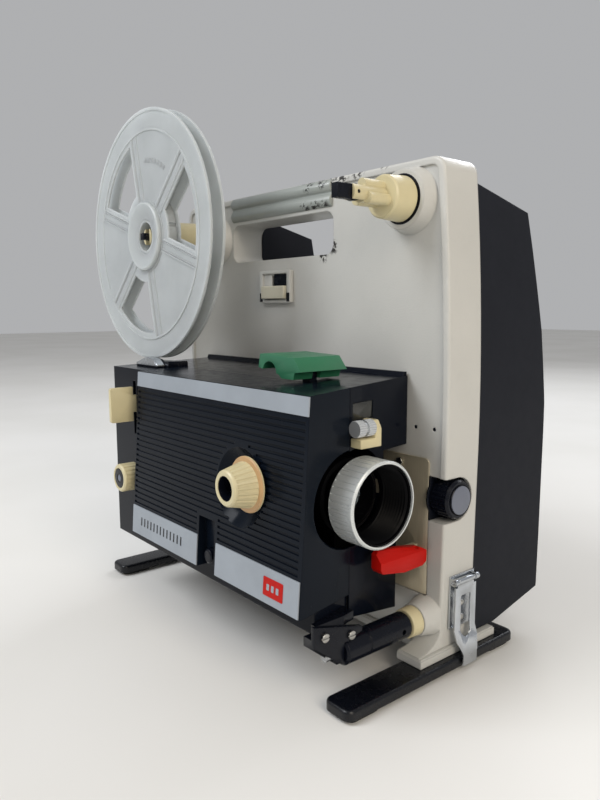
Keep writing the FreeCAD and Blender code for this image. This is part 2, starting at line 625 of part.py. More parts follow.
def make_ribbed_cover():
    outer = ribbed_mass(0)
    cavity = ribbed_mass(RIBBED_WALL)
    dish_face = ribbed_y(DISH[1])
    ball = DISH_R ** 2 / (2 * DISH_DEPTH) + DISH_DEPTH / 2
    ball_centre = V(DISH[0], dish_face + DISH_DEPTH - ball, DISH[1])
    cup = Part.makeSphere(ball + 1.8, ball_centre)
    bearing = cyl("y", MAIN_KNOB, -120, -80.0, 7.0)
    latch_well = box(-99.0, -77.3, -120, -89.0, 50, 90)
    shell = outer.cut(cavity.cut(cup).cut(latch_well).cut(bearing))
    shell = shell.cut(Part.makeSphere(ball, ball_centre))
    shell = shell.fuse(cyl("y", MAIN_KNOB, dish_face, -80.0, 7.0))
    shell = shell.cut(cyl("y", MAIN_KNOB, -100, -70, SHAFT_R + RUNNING_GAP))
    shell = shell.cut(box(-97.0, -79.3, -120, -91.4, 50, 88))
    shell = shell.cut(cyl("y", (-89.5, 64.0), -100, -80, 4.3 + BODY_GAP))
    # leaning scoop round the lens
    far = Part.Wire(Part.makeCircle(LENS_HOLE_R, V(-14, LENS_Y, LENS_Z), V(1, 0, 0)))
    near = Part.Wire(Part.makeCircle(LENS_HOLE_R, V(2, LENS_Y - 12, LENS_Z + 0.5), V(1, 0, 0)))
    shell = shell.cut(Part.makeLoft([far, near], True))
    shell = shell.cut(cyl("x", (LENS_Y, LENS_Z), -20, 5, LENS_HOLE_R))
    # horizontal grooves between the trim strip and the name plates
    grooves = []
    for i in range(RIB_COUNT):
        z = RIB_FIRST_Z + RIB_PITCH * i
        for x0, x1 in rib_spans(z):
            grooves.append(ribbed_slab(x0, x1, z - 0.75, z + 0.75, 1.0, 0.8))
    shell = shell.cut(Part.makeCompound(grooves))
    return shell.removeSplitter()


def rib_spans(z):
    """A groove stops short of the knob dish and of the latch well."""
    x0, x1 = RIBBED_REAR + 1.2, -3.0
    stops = []
    if z < 90.5:
        stops.append((-99.5, -76.8))
    reach = DISH_R + 0.8
    dz = z - DISH[1]
    if abs(dz) < reach:
        half = math.sqrt(reach * reach - dz * dz)
        stops.append((DISH[0] - half, DISH[0] + half))
    spans = []
    for low, high in sorted(stops):
        spans.append((x0, low))
        x0 = high
    spans.append((x0, x1))
    return spans


def make_cover_trim():
    z_top = RIBBED_TOP[1]
    z_low = RIBBED_BOTTOM[1] + 0.3
    plates = [ribbed_slab(RIBBED_REAR + 0.6, -0.6, z_top - STRIP_HEIGHT, z_top - 0.3, 0.7, 0.0)]
    for x0, x1 in ((RIBBED_REAR + 0.6, -97.6), (-77.0, -0.6)):
        plates.append(ribbed_slab(x0, x1, z_low, z_low + PLATE_HEIGHT, 0.7, 0.0))
    parts["trim_plates"] = Part.makeCompound(plates)


def make_cover_latch():
    cap = turned("y", (-89.5, 64.0), [(-95.4, 3.4), (-94.8, 4.3), (-87.0, 4.3)])
    return cap.fuse(box(-93.0, -86.0, -87.5, -80.0, 61.0, 67.0)).removeSplitter()


# ---------------------------------------------------------------------------
# Lens, gate plate and threading parts
# ---------------------------------------------------------------------------
def make_lens():
    axis = (LENS_Y, LENS_Z)
    mount = tube("x", axis, -58.0, -14.0, 21.0, BARREL_R + RUNNING_GAP)
    web = box(-46.0, -30.0, LENS_Y - 4, LENS_Y + 4, 30.0, LENS_Z - 18)
    foot = box(-52.0, -24.0, LENS_Y - 5, LENS_Y + 12, 30.0, HOUSING_BOTTOM + 6)
    stand = web.fuse(foot).common(housing_mass(HOUSING_WALL)).cut(cyl("x", axis, -60, 0, 19.5))
    parts["lens_mount"] = fuse_all([mount, stand])
    barrel = turned("x", axis, [(-56.0, BARREL_R), (-11.5, BARREL_R), (-10.5, BARREL_R - 1.0)])
    barrel = barrel.cut(turned("x", axis, [(-60.0, 12.0), (-30.0, 12.0), (-22.0, 15.4), (-5, 15.4)]))
    parts["lens_barrel"] = barrel
    front = Part.makeSphere(34.0, V(-51.5, LENS_Y, LENS_Z))
    element = cyl("x", axis, -21.8, -17.0, 15.4).common(front)
    rear = cyl("x", axis, -54.0, -49.0, 12.0).common(
        Part.makeSphere(24.0, V(-32.0, LENS_Y, LENS_Z)))
    parts["lens_elements"] = Part.makeCompound([element, rear])
    ring = fluted("x", axis, LENS_RING_REAR + 1.2, LENS_RING_FRONT - 2.0, LENS_RING_R,
                  RING_GROOVES, 0.45, 0.4)
    lip = turned("x", axis, [(LENS_RING_FRONT - 2.2, LENS_RING_R),
                             (LENS_RING_FRONT - 0.8, LENS_RING_R),
                             (LENS_RING_FRONT, LENS_RING_R - 0.8)])
    back = turned("x", axis, [(LENS_RING_REAR, LENS_RING_R - 0.8),
                              (LENS_RING_REAR + 1.4, LENS_RING_R)])
    ring = fuse_all([ring, lip, back])
    parts["focus_ring"] = ring.cut(cyl("x", axis, -10, 20, 21.8))
    hood = turned("x", axis, [(LENS_RING_REAR - 3.0, 21.8), (LENS_RING_FRONT - 1.2, 21.8)])
    bore = [(LENS_RING_REAR - 4.0, 18.0), (LENS_RING_REAR - 1.0, 18.0)]
    x = LENS_RING_REAR - 1.0
    while x < LENS_RING_FRONT - 3.0:
        bore += [(x, 19.4), (x + 1.0, 20.6), (x + 2.0, 20.6)]
        x += 2.0
    bore += [(LENS_RING_FRONT + 1.0, 21.2)]
    parts["lens_hood"] = hood.cut(turned("x", axis, bore))


def make_gate():
    plate = box(-60.5, -1.5, 0.1, FACE_RECESS, 42.6, 124.4)
    plate = rounded(plate, 3.0, lambda e: abs(e.CenterOfMass.x + 1.5) < 0.01
                    and abs(e.CenterOfMass.z - 124.4) < 0.01)
    ear = box(-13.0, -9.0, -8.0, 1.0, 62.0, 72.0)
    ear = ear.cut(cyl("x", FRAMING_PIVOT, -20, 0, 1.5 + RUNNING_GAP))
    parts["gate_plate"] = plate.fuse(ear)
    heads = []
    for spot in [(-23.8, 119.5), (-50.0, 119.5), (-50.0, 47.5)]:
        heads.append(screw_head("y", spot, -1.3, 0.1, 2.6))
    for spot in [(-84.5, 45.2), (-66.0, 41.0)]:
        heads.append(screw_head("x", spot, 5.2, 3.6, 2.4))
    parts["slotted_screws"] = Part.makeCompound(heads)
    aperture = box(-64.0, -61.0, -76.0, -28.0, 84.0, 136.0)
    aperture = aperture.cut(box(-70, -50, LENS_Y - 3, LENS_Y + 3, LENS_Z - 2.2, LENS_Z + 2.2))
    flange = box(-64.0, -61.0, -30.0, 0.9, 96.0, 124.0)
    parts["aperture_plate"] = aperture.fuse(flange).removeSplitter()
    # threading bracket on the lens end, with its knurled steel roller
    base = box(-11.5, 0.5, -56.5, -41.2, 137.8, 142.8)
    post = prism("xz", [(-13.0, 137.8), (0.5, 137.8), (0.5, 147.5), (-2.0, 152.0), (-13.0, 152.0)],
                 -45.8, -41.2)
    solid = base.fuse(post)
    behind = [(lens_end_x(-70), -70), (lens_end_x(-20), -20), (-60, -20), (-60, -70)]
    solid = solid.cut(prism("xy", behind, 100, 180))
    roller_axis = (-2.6, 148.2)
    solid = solid.cut(cyl("y", roller_axis, -47, -39, 1.5 + RUNNING_GAP))
    parts["threading_bracket"] = solid.removeSplitter()
    roller = fluted("y", roller_axis, -58.3, -53.2, 4.5, 24, 0.7, 0.3)
    neck = cyl("y", roller_axis, -53.2, -51.4, 3.2)
    inner = fluted("y", roller_axis, -51.4, -46.2, 4.5, 24, 0.7, 0.3)
    pin = cyl("y", roller_axis, -46.4, -40.4, 1.5)
    parts["threading_roller"] = fuse_all([roller, neck, inner, pin])
    parts["window_glass"] = end_slab(-54.3, -36.2, 151.7, 160.8, -1.8, -0.4)


def make_framing_lever():
    """Tapered lever along Y; it swings about an X axis close to the gate plate."""
    outline = [(-43.0, 69.5), (-41.5, 67.2), (-24.0, 64.0), (-9.0, 64.5), (-5.6, 66.5), (-5.6, 73.0),
               (-9.0, 75.0), (-24.0, 77.5), (-40.5, 79.0), (-43.0, 77.5)]
    lever = prism("yz", outline, -4.5, 3.0)
    ramp = prism("xz", [(-10, 95), (-10, 80.0), (-2.5, 79.5), (5.0, 71.0), (5.0, 95)], -50, 0)
    lever = lever.cut(ramp)
    thumb_notch = cyl("x", (-12.0, 77.5), -1.0, 5.0, 3.0)
    lever = lever.cut(thumb_notch)
    hub = cyl("x", FRAMING_PIVOT, -8.5, -1.5, 3.4)
    pin = cyl("x", FRAMING_PIVOT, -14.0, -8.0, 1.5)
    return fuse_all([lever, hub, pin])


# ---------------------------------------------------------------------------
# Knobs, levers, switch and catches
# ---------------------------------------------------------------------------
def make_main_knob():
    """Ivory knob: thin skirt, fluted cone and a deep hole in its front."""
    x, z = MAIN_KNOB
    front = MAIN_KNOB_FRONT
    skirt_y = ribbed_y(z - 15.5) - BODY_GAP
    profile = [(front, 9.0), (front + 0.8, 9.9), (front + 2.0, 10.2), (skirt_y - 1.8, 12.8),
               (skirt_y - 1.6, 14.9), (skirt_y - 0.9, 15.5), (skirt_y, 15.5)]
    knob = turned("y", MAIN_KNOB, profile)
    flutes = []
    count = 24
    for i in range(count):
        angle = 2 * math.pi * i / count
        ux, uz = math.cos(angle), math.sin(angle)
        start = V(x + 10.6 * ux, front + 1.8, z + 10.6 * uz)
        end = V(x + 13.3 * ux, skirt_y - 2.2, z + 13.3 * uz)
        flutes.append(Part.makeCylinder(1.0, (end - start).Length, start, end - start))
    knob = knob.cut(Part.makeCompound(flutes))
    knob = knob.cut(cone("y", MAIN_KNOB, front - 1, front + 9.0, 7.0, 5.8))
    parts["main_knob"] = knob.fuse(cyl("y", MAIN_KNOB, skirt_y - 2.0, -76.0, SHAFT_R)).removeSplitter()


def make_rear_knob():
    body = fluted("y", REAR_KNOB, -97.0, -86.0, 10.0, 20, 1.3, 0.4)
    rim = turned("y", REAR_KNOB, [(-98.4, 8.8), (-97.6, 9.8), (-96.6, 10.0)])
    shaft = cyl("y", REAR_KNOB, -87.0, -64.0, 3.0)
    cap = turned("y", REAR_KNOB, [(-97.9, 5.8), (-97.5, 6.6), (-96.4, 6.6)])
    knob = fuse_all([body, rim, shaft]).cut(cyl("y", REAR_KNOB, -99, -96.4, 7.2))
    parts["rear_knob"] = knob.fuse(cap).removeSplitter()


def make_tab_lever():
    """Square ivory tab on an arm that rocks about an X axis; returns its fixed pivot pin."""
    py, pz = TAB_PIVOT
    tab = box(TAB_X - 1.6, TAB_X + 1.6, -104.0, -87.0, 131.5, 156.0)
    tab = rounded(tab, 1.5, lambda e: abs(e.CenterOfMass.y + 104.0) < 0.01
                  and abs(e.CenterOfMass.x - TAB_X) < 0.01)
    arm = box(TAB_X - 1.6, TAB_X + 1.6, -88.0, py, 138.0, 150.0)
    hub = cyl("x", (py, pz), TAB_X - 1.6, TAB_X + 1.6, 6.0)
    lever = fuse_all([tab, arm, hub])
    parts["tab_lever"] = lever.cut(cyl("x", (py, pz), TAB_X - 5, TAB_X + 5, 2.0 + RUNNING_GAP))
    return cyl("x", (py, pz), HOUSING_REAR + 1.0, RIBBED_REAR - 1.0, 2.0)


def make_loading_lever():
    """Rocker on top of the housing, arched at the rear; returns the lug that carries it."""
    outline = [(-76.0, 176.6), (-74.3, 184.6), (-43.5, 183.6), (-37.0, 176.0), (-42.5, 175.2),
               (-43.6, 171.4), (-54.0, 171.4), (-57.0, 173.6)]
    solid = prism("xz", outline, -66.0, -31.5)
    solid = solid.cut(cyl("y", (-65.5, 174.2), -70, -28, 6.4))
    solid = solid.cut(box(-60, -40, -52.4, -46.6, 168, 178.6))
    pin = cyl("y", LEVER_PIVOT, -56.0, -43.0, 1.4)
    parts["loading_lever"] = fuse_all([solid, pin])
    lug = box(-52.4, -45.6, -52.0, -47.0, 168.0, LEVER_PIVOT[1]).fuse(
        cyl("y", LEVER_PIVOT, -52.0, -47.0, 3.4))
    lug = lug.cut(prism("yz", [(0, HOUSING_TOP), (SEAM_Y, SEAM_Z), (SEAM_Y, 150), (0, 150)], -300, 20))
    return lug.cut(cyl("y", LEVER_PIVOT, -60, -40, 1.4 + RUNNING_GAP))


def make_film_guide():
    """Entry guide under the rear reel: a polished shoe and a black roller block."""
    floor = prism("yz", [(0, HOUSING_TOP), (SEAM_Y, SEAM_Z), (HOUSING_FRONT_Y, 168.6), (-90, 150),
                         (0, 150)], -300, 20)
    shoe = prism("xz", [(-222.0, 169.0), (-222.0, 171.6), (-206.0, 175.8), (-196.0, 174.6),
                        (-190.0, 171.0), (-190.0, 169.0)], -72.0, -64.0)
    block = prism("xz", [(-230.0, 169.0), (-230.0, 171.8), (-186.0, 173.4),
                         (-184.6, 172.4), (-184.6, 169.0)], -66.0, -50.0)
    parts["film_guide"] = shoe.fuse(block).cut(floor)


def make_slide_switch():
    x0, x1, z0, z1 = -161.5, -126.0, 214.5, 237.5
    bezel = rounded_rect(x0, x1, z0, z1, 1.2, -2.2, FACE_RECESS)
    bezel = bezel.cut(box(x0 + 4, x1 - 4, -3, -0.8, z0 + 2.5, z1 - 2.5))
    bezel = bezel.cut(box(-148.3, -138.7, -3, 2, z0 + 3.5, z1 - 3.5))
    parts["switch_bezel"] = bezel
    slider = box(x0 + 4.6, x1 - 4.6, -4.6, -1.1, z0 + 3.0, z0 + 12.0)
    slider = rounded(slider, 0.8, lambda e: abs(e.CenterOfMass.y + 4.6) < 0.01)
    stem = box(-147.6, -139.4, -1.6, 5.5, z0 + 4.5, z0 + 11.0)
    parts["slide_switch"] = slider.fuse(stem).removeSplitter()


def make_front_knob():
    spot = FRONT_KNOB
    back = cyl("x", spot, -1.5, -0.3, NOTCH_R).fuse(
        box(-1.5, -0.3, 0.2, spot[0], spot[1] - NOTCH_R, spot[1] + NOTCH_R))
    rim = tube("x", spot, -0.4, 9.0, NOTCH_R, NOTCH_R - LINER_WALL)
    rim = rim.cut(box(-5, 20, -20, spot[0], 0, 200))
    parts["knob_well_liner"] = fuse_all([back, rim]).cut(cyl("x", spot, -5, 20, 3.1))
    body = fluted("x", spot, 0.4, 11.2, FRONT_KNOB_R, 26, 1.2, 0.45)
    nose = turned("x", spot, [(11.0, FRONT_KNOB_R), (12.6, FRONT_KNOB_R - 1.2)])
    cap = turned("x", spot, [(11.6, 8.6), (12.9, 8.6), (13.4, 8.0)])
    knob = fuse_all([body, nose]).cut(cyl("x", spot, 11.6, 14, 9.0)).fuse(cap)
    parts["front_knob"] = knob.cut(cyl("x", spot, -5, 8.0, 3.0)).removeSplitter()


def make_catch(name, face_x, direction):
    """Steel hasp that hangs from a hinge on the frame's end; returns the seat it hangs on."""
    def at(distance):
        return face_x + direction * distance

    def span(a, b):
        return min(at(a), at(b)), max(at(a), at(b))

    y0, y1 = 7.0, 27.0
    lo, hi = span(0.0, 1.2)
    seat = box(lo, hi, y0 - 1.0, y1 + 1.0, 24.0, CATCH_HINGE_Z + 3.0)
    knuckle_x = at(3.5)
    lugs = []
    for a, b in ((y0 - 1.0, y0 + 2.2), (y1 - 2.2, y1 + 1.0)):
        lo, hi = span(0.0, 3.5)
        lugs.append(box(lo, hi, a, b, CATCH_HINGE_Z - 2.0, CATCH_HINGE_Z + 2.0))
        lugs.append(cyl("y", (knuckle_x, CATCH_HINGE_Z), a, b, 2.2))
    seat = fuse_all([seat] + lugs)
    seat = seat.cut(cyl("y", (knuckle_x, CATCH_HINGE_Z), -5, 40, 1.0 + RUNNING_GAP))
    eye = cyl("y", (knuckle_x, CATCH_HINGE_Z), y0 + 2.6, y1 - 2.6, 2.0)
    pin = cyl("y", (knuckle_x, CATCH_HINGE_Z), y0 - 0.8, y1 + 0.8, 1.0)
    strap = prism("xz", [(at(2.8), CATCH_HINGE_Z), (at(4.2), CATCH_HINGE_Z), (at(4.2), 23.0),
                         (at(8.6), 10.2), (at(8.6), 2.6), (at(7.2), 2.6), (at(7.2), 9.6),
                         (at(2.8), 22.4)], y0 + 0.5, y1 - 0.5)
    strap = strap.cut(box(-400, 100, y0 - 1, y0 + 2.6, CATCH_HINGE_Z - 3.4, 80))
    strap = strap.cut(box(-400, 100, y1 - 2.6, y1 + 1, CATCH_HINGE_Z - 3.4, 80))
    slot = box(-400, 100, y0 + 5.5, y1 - 5.5, 23.0, 44.0)
    slot = slot.fuse(cyl("x", (0.5 * (y0 + y1), 23.0), -400, 100, 0.5 * (y1 - y0) - 5.5))
    middle = 0.5 * (y0 + y1)
    taper = prism("yz", [(y0 - 1, 60.0), (y0 - 1, 21.0), (middle - 6.2, 9.0), (middle - 6.2, 0.0),
                         (middle + 6.2, 0.0), (middle + 6.2, 9.0), (y1 + 1, 21.0), (y1 + 1, 60.0)],
                  -400, 100)
    strap = strap.cut(slot).common(taper)
    parts[name] = fuse_all([strap, eye, pin])
    return seat


# ---------------------------------------------------------------------------
# Spindles and reel
# ---------------------------------------------------------------------------
def make_spindle(prefix, spot, stem_r, shoulder_y, finger_y, pivot_y, root_r, reach):
    """Ivory spindle: drum, three fingers and a forked stem that holds a folding key."""
    x, z = spot
    boss = turned("y", spot, [(shoulder_y, DRUM_R - 1.6), (shoulder_y + 1.2, DRUM_R - 0.8),
                              (-8.4, DRUM_R), (-7.8, DRUM_R - 0.6)])
    shaft = cyl("y", spot, -9.0, 22.0, SHAFT_R)
    stem = cyl("y", spot, pivot_y - 3.0, shoulder_y + 1, stem_r)
    fingers = []
    for i in range(3):
        angle = math.radians(90 + 120 * i)
        centre = (x + FINGER_SPREAD * math.cos(angle), z + FINGER_SPREAD * math.sin(angle))
        fingers.append(cyl("y", centre, finger_y, shoulder_y + 1, FINGER_R))
    spindle = fuse_all([boss, shaft, stem] + fingers)
    spindle = spindle.cut(box(x - 2.8, x + 2.8, pivot_y - 10, pivot_y + root_r + 1.0, z - 12, z + 12))
    spindle = spindle.cut(cyl("x", (pivot_y, z), x - 12, x + 12, 1.0 + RUNNING_GAP))
    parts[prefix + "_spindle"] = spindle
    key = cyl("x", (pivot_y, z), x - 2.5, x + 2.5, root_r)
    key = key.fuse(box(x - 2.5, x + 2.5, pivot_y - reach, pivot_y, z - root_r + 0.6, z + root_r - 0.6))
    ridges = []
    for i in range(3):
        y = pivot_y - reach + 1.0 + 1.6 * i
        ridges.append(box(x - 3, x + 3, y, y + 0.6, z - root_r - 1, z - root_r + 1.0))
        ridges.append(box(x - 3, x + 3, y, y + 0.6, z + root_r - 1.0, z + root_r + 1))
    key = key.cut(Part.makeCompound(ridges))
    pin = cyl("x", (pivot_y, z), x - stem_r + 0.3, x + stem_r - 0.3, 1.0)
    parts[prefix + "_key"] = key.fuse(pin).removeSplitter()


def reel_window(y0, y1, start_deg, end_deg):
    """Opening in a reel flange between two spokes, with sides parallel to the spokes."""
    x, z = TAKEUP
    r_out = REEL_R * 0.79
    ring = tube("y", TAKEUP, y0, y1, r_out, REEL_OPEN_START)
    half = 7.0
    a = math.radians(start_deg)
    b = math.radians(end_deg)
    mid = (a + b) / 2
    apex_shift = half / math.sin((b - a) / 2)
    apex = (x + apex_shift * math.cos(mid), z + apex_shift * math.sin(mid))
    far = REEL_R * 2
    wedge = [apex, (apex[0] + far * math.cos(a), apex[1] + far * math.sin(a)),
             (apex[0] + far * math.cos(b), apex[1] + far * math.sin(b))]
    return ring.common(prism("xz", wedge, y0 - 1, y1 + 1))


def make_flange(y0, y1, ridge_side):
    disc = cyl("y", TAKEUP, y0, y1, REEL_R)
    ridge_y0, ridge_y1 = (y0 - 0.6, y0 + 0.1) if ridge_side < 0 else (y1 - 0.1, y1 + 0.6)
    rings = []
    for r_out, r_in in ((REEL_R, REEL_R - 2.2), (REEL_R * 0.845, REEL_R * 0.845 - 1.4),
                        (REEL_HUB_R + 3.0, REEL_HUB_R + 1.0)):
        rings.append(tube("y", TAKEUP, ridge_y0, ridge_y1, r_out, r_in))
    solid = fuse_all([disc] + rings)
    for i in range(3):
        start = REEL_TURN + 120 * i - 30
        solid = solid.cut(reel_window(y0 - 2, y1 + 2, start, start + 60))
    spokes = []
    x, z = TAKEUP
    for i in range(6):
        angle = math.radians(REEL_TURN - 30 + 60 * i)
        for shift in SPOKE_RIDGES:
            ux, uz = math.cos(angle), math.sin(angle)
            points = []
            for along, across in ((REEL_HUB_R + 2, -0.6), (REEL_R * 0.835, -0.6),
                                  (REEL_R * 0.835, 0.6), (REEL_HUB_R + 2, 0.6)):
                points.append((x + along * ux - (shift + across) * uz,
                               z + along * uz + (shift + across) * ux))
            spokes.append(prism("xz", points, ridge_y0, ridge_y1))
    return fuse_all([solid] + spokes)


def make_reel():
    front0 = REEL_FRONT_Y + 0.6
    rear1 = REEL_REAR_Y - 0.6
    front = make_flange(front0, front0 + REEL_SHEET, -1)
    rear = make_flange(rear1 - REEL_SHEET, rear1, 1)
    front = front.cut(cyl("y", TAKEUP, -70, -40, 12.0))
    rear = rear.cut(cyl("y", TAKEUP, -70, -40, 12.0))
    parts["reel_front_flange"] = front
    parts["reel_rear_flange"] = rear
    core = tube("y", TAKEUP, front0 + REEL_SHEET, rear1 - REEL_SHEET, REEL_CORE_R, REEL_CORE_R - 2.4)
    for i in range(3):
        angle = math.radians(REEL_TURN + 120 * i)
        spot = (TAKEUP[0] + REEL_CORE_R * math.cos(angle), TAKEUP[1] + REEL_CORE_R * math.sin(angle))
        core = core.cut(cyl("y", spot, -70, -40, 1.6))
    hub = tube("y", TAKEUP, REEL_FRONT_Y, REEL_REAR_Y, 12.0, 10.3)
    floor = tube("y", TAKEUP, REEL_REAR_Y - 3.2, REEL_REAR_Y, 10.8, SPINDLE_R)
    webs = []
    x, z = TAKEUP
    for i in range(6):
        angle = math.radians(REEL_TURN - 30 + 60 * i)
        ux, uz = math.cos(angle), math.sin(angle)
        points = [(x + r * ux - s * uz, z + r * uz + s * ux)
                  for r, s in ((11.0, -0.8), (REEL_CORE_R - 1.5, -0.8), (REEL_CORE_R - 1.5, 0.8),
                               (11.0, 0.8))]
        webs.append(prism("xz", points, front0 + REEL_SHEET, rear1 - REEL_SHEET))
    parts["reel_core"] = fuse_all([core, hub, floor] + webs)


# ---------------------------------------------------------------------------
# Drive, lamp and electrics inside
# ---------------------------------------------------------------------------
def make_drive():
    my, mz = MOTOR_AXIS
    body = cyl("x", MOTOR_AXIS, -132.0, -74.0, 25.0)
    caps = [cyl("x", MOTOR_AXIS, -135.0, -132.0, 14.0), cyl("x", MOTOR_AXIS, -74.0, -71.0, 14.0)]
    foot = box(-128.0, -78.0, my - 16, my + 16, 26.0, 44.0)
    motor = fuse_all([body] + caps + [foot])
    parts["motor"] = motor.cut(cyl("x", MOTOR_AXIS, -140, -60, 3.0 + RUNNING_GAP))
    parts["motor_shaft"] = fuse_all([cyl("x", MOTOR_AXIS, -152.0, -56.0, 3.0),
                                     pulley(MOTOR_AXIS, MOTOR_BELT_X, MOTOR_PULLEY_R, 2.0)])
    fan = [tube("x", MOTOR_AXIS, -66.0, -58.0, 7.0, 3.0)]
    for i in range(8):
        blade = box(-66.0, -58.0, my - 0.8, my + 0.8, mz + 5.5, mz + 26.0)
        blade.rotate(V(0, my, mz), V(1, 0, 0), 45 * i)
        fan.append(blade)
    parts["cooling_fan"] = fuse_all(fan)
    parts["lay_shaft"] = fuse_all([cyl("x", FRONT_KNOB, -171.0, 8.0, 3.0),
                                   pulley(FRONT_KNOB, MOTOR_BELT_X, MAIN_PULLEY_R, 2.0),
                                   pulley(FRONT_KNOB, SHUTTER_BELT_X, SMALL_PULLEY_R, 2.0)])
    parts["shutter_shaft"] = fuse_all([cyl("x", SHUTTER_AXIS, -172.0, -66.0, 2.5),
                                       pulley(SHUTTER_AXIS, SHUTTER_BELT_X, SMALL_PULLEY_R, 2.0)])
    disc = cyl("x", SHUTTER_AXIS, -70.5, -69.3, SHUTTER_R)
    for i in range(3):
        gap = sector_points(SHUTTER_AXIS, 13.0, SHUTTER_R + 5, 120 * i, 120 * i + 55)
        disc = disc.cut(prism("yz", gap, -72, -68))
    hub = cyl("x", SHUTTER_AXIS, -74.0, -67.0, 6.0)
    shutter = disc.fuse(hub).cut(cyl("x", SHUTTER_AXIS, -80, -60, 2.5))
    parts["shutter"] = shutter.removeSplitter()
    parts["motor_belt"] = make_belt((FRONT_KNOB, MAIN_PULLEY_R), (MOTOR_AXIS, MOTOR_PULLEY_R),
                                    MOTOR_BELT_X)
    parts["shutter_belt"] = make_belt((FRONT_KNOB, SMALL_PULLEY_R), (SHUTTER_AXIS, SMALL_PULLEY_R),
                                      SHUTTER_BELT_X)


def sector_points(centre, r_in, r_out, start_deg, end_deg):
    points = []
    steps = 12
    for i in range(steps + 1):
        angle = math.radians(start_deg + (end_deg - start_deg) * i / steps)
        points.append((centre[0] + r_out * math.cos(angle), centre[1] + r_out * math.sin(angle)))
    for i in range(steps + 1):
        angle = math.radians(end_deg - (end_deg - start_deg) * i / steps)
        points.append((centre[0] + r_in * math.cos(angle), centre[1] + r_in * math.sin(angle)))
    return points


def pulley(axis, x, radius, bore):
    half = BELT_WIDTH / 2
    wheel = fuse_all([cyl("x", axis, x - half - 1.8, x - half - 0.3, radius + 2.0),
                      cyl("x", axis, x - half - 0.4, x + half + 0.4, radius),
                      cyl("x", axis, x + half + 0.3, x + half + 1.8, radius + 2.0)])
    return wheel.cut(cyl("x", axis, x - 20, x + 20, bore))


def make_belt(first, second, x):
    """Flat belt round two pulleys, each given as (axis, radius): the gap between two hulls."""
    half = BELT_WIDTH / 2

    def loop(extra):
        (ay, az), a_radius = first
        (by, bz), b_radius = second
        distance = math.hypot(by - ay, bz - az)
        heading = math.atan2(bz - az, by - ay)
        lean = math.acos((a_radius - b_radius) / distance)
        points = []
        solid = None
        for cy, cz, radius in ((ay, az, a_radius + extra), (by, bz, b_radius + extra)):
            for side in (1, -1):
                angle = heading + side * lean
                points.append((cy + radius * math.cos(angle), cz + radius * math.sin(angle)))
            wheel = cyl("x", (cy, cz), x - half, x + half, radius)
            solid = wheel if solid is None else solid.fuse(wheel)
        return solid.fuse(prism("yz", [points[0], points[1], points[3], points[2]], x - half, x + half))

    return loop(BODY_GAP + BELT_THICKNESS).cut(loop(BODY_GAP)).removeSplitter()


def make_lamp():
    axis = (LENS_Y, LENS_Z)
    outer = Part.makeSphere(24.0, V(-106.0, LENS_Y, LENS_Z)).common(
        cyl("x", axis, -132.0, -106.0, 18.0))
    inner = Part.makeSphere(22.2, V(-106.0, LENS_Y, LENS_Z))
    bulb = cyl("x", axis, -129.0, -112.0, 5.4).fuse(Part.makeSphere(5.4, V(-112.0, LENS_Y, LENS_Z)))
    parts["projection_lamp"] = outer.cut(inner).fuse(bulb).removeSplitter()
    socket = box(-142.0, -130.0, LENS_Y - 12, LENS_Y + 12, LENS_Z - 9, LENS_Z + 9)
    arm = box(-138.0, -132.0, LENS_Y + 10, FACE_RECESS, LENS_Z + 2, LENS_Z + 9)
    parts["lamp_socket"] = fuse_all([socket, arm])


def make_transformer():
    core = box(-236.0, -200.0, 38.0, 80.0, 26.0, 64.0)
    coil = box(-228.0, -208.0, 34.0, 86.0, 32.0, 58.0)
    return core.fuse(coil).removeSplitter()


def make_sprocket():
    axis = SPROCKET_AXIS
    drum = cyl("y", axis, -62.0, -46.0, 8.0)
    teeth = []
    for i in range(12):
        angle = 2 * math.pi * i / 12
        spot = (axis[0] + 8.0 * math.cos(angle), axis[1] + 8.0 * math.sin(angle))
        teeth.append(cyl("y", spot, -60.0, -58.8, 0.8))
    shaft = cyl("y", axis, -46.5, 3.4, 2.5)
    parts["sprocket"] = fuse_all([drum, shaft] + teeth)


def build_all():
    parts["main_frame"] = make_main_frame()
    parts["base_tray"] = make_base_tray()
    parts["handle_grip"] = make_handle_grip()
    parts["back_cover"] = make_back_cover()
    parts["power_inlet"] = make_power_inlet()
    make_feet()
    make_tilt_parts()
    parts["mechanism_housing"] = fuse_all([make_housing(), make_housing_rim(), make_loading_lever(),
                                           make_tab_lever()])
    parts["ribbed_cover"] = make_ribbed_cover()
    make_cover_trim()
    parts["cover_latch_button"] = make_cover_latch()
    make_lens()
    make_gate()
    parts["framing_lever"] = make_framing_lever()
    make_main_knob()
    make_rear_knob()
    make_film_guide()
    make_slide_switch()
    make_front_knob()
    parts["catch_seats"] = Part.makeCompound([
        make_catch("front_catch", 10.3, 1),
        make_catch("rear_catch", FRAME_REAR, -1)])
    make_spindle("supply", SUPPLY, 4.8, -23.5, -38.6, -45.0, 4.4, 13.0)
    make_spindle("takeup", TAKEUP, SPINDLE_R, -43.5, -46.0, -58.0, 3.0, 7.5)
    make_reel()
    make_drive()
    make_lamp()
    parts["transformer"] = make_transformer()
    make_sprocket()


def write_all():
    os.makedirs("parts", exist_ok=True)
    low = V(1e9, 1e9, 1e9)
    high = V(-1e9, -1e9, -1e9)
    for name, shape in sorted(parts.items()):
        shape.translate(V(0, 0, 0) - ORIGIN)
        if not shape.isValid():
            print("NOT VALID", name)
        bound = shape.BoundBox
        low = V(min(low.x, bound.XMin), min(low.y, bound.YMin), min(low.z, bound.ZMin))
        high = V(max(high.x, bound.XMax), max(high.y, bound.YMax), max(high.z, bound.ZMax))
        shape.exportStep("parts/" + name + ".step")
    print(len(parts), "nodes; box from", low, "to", high)


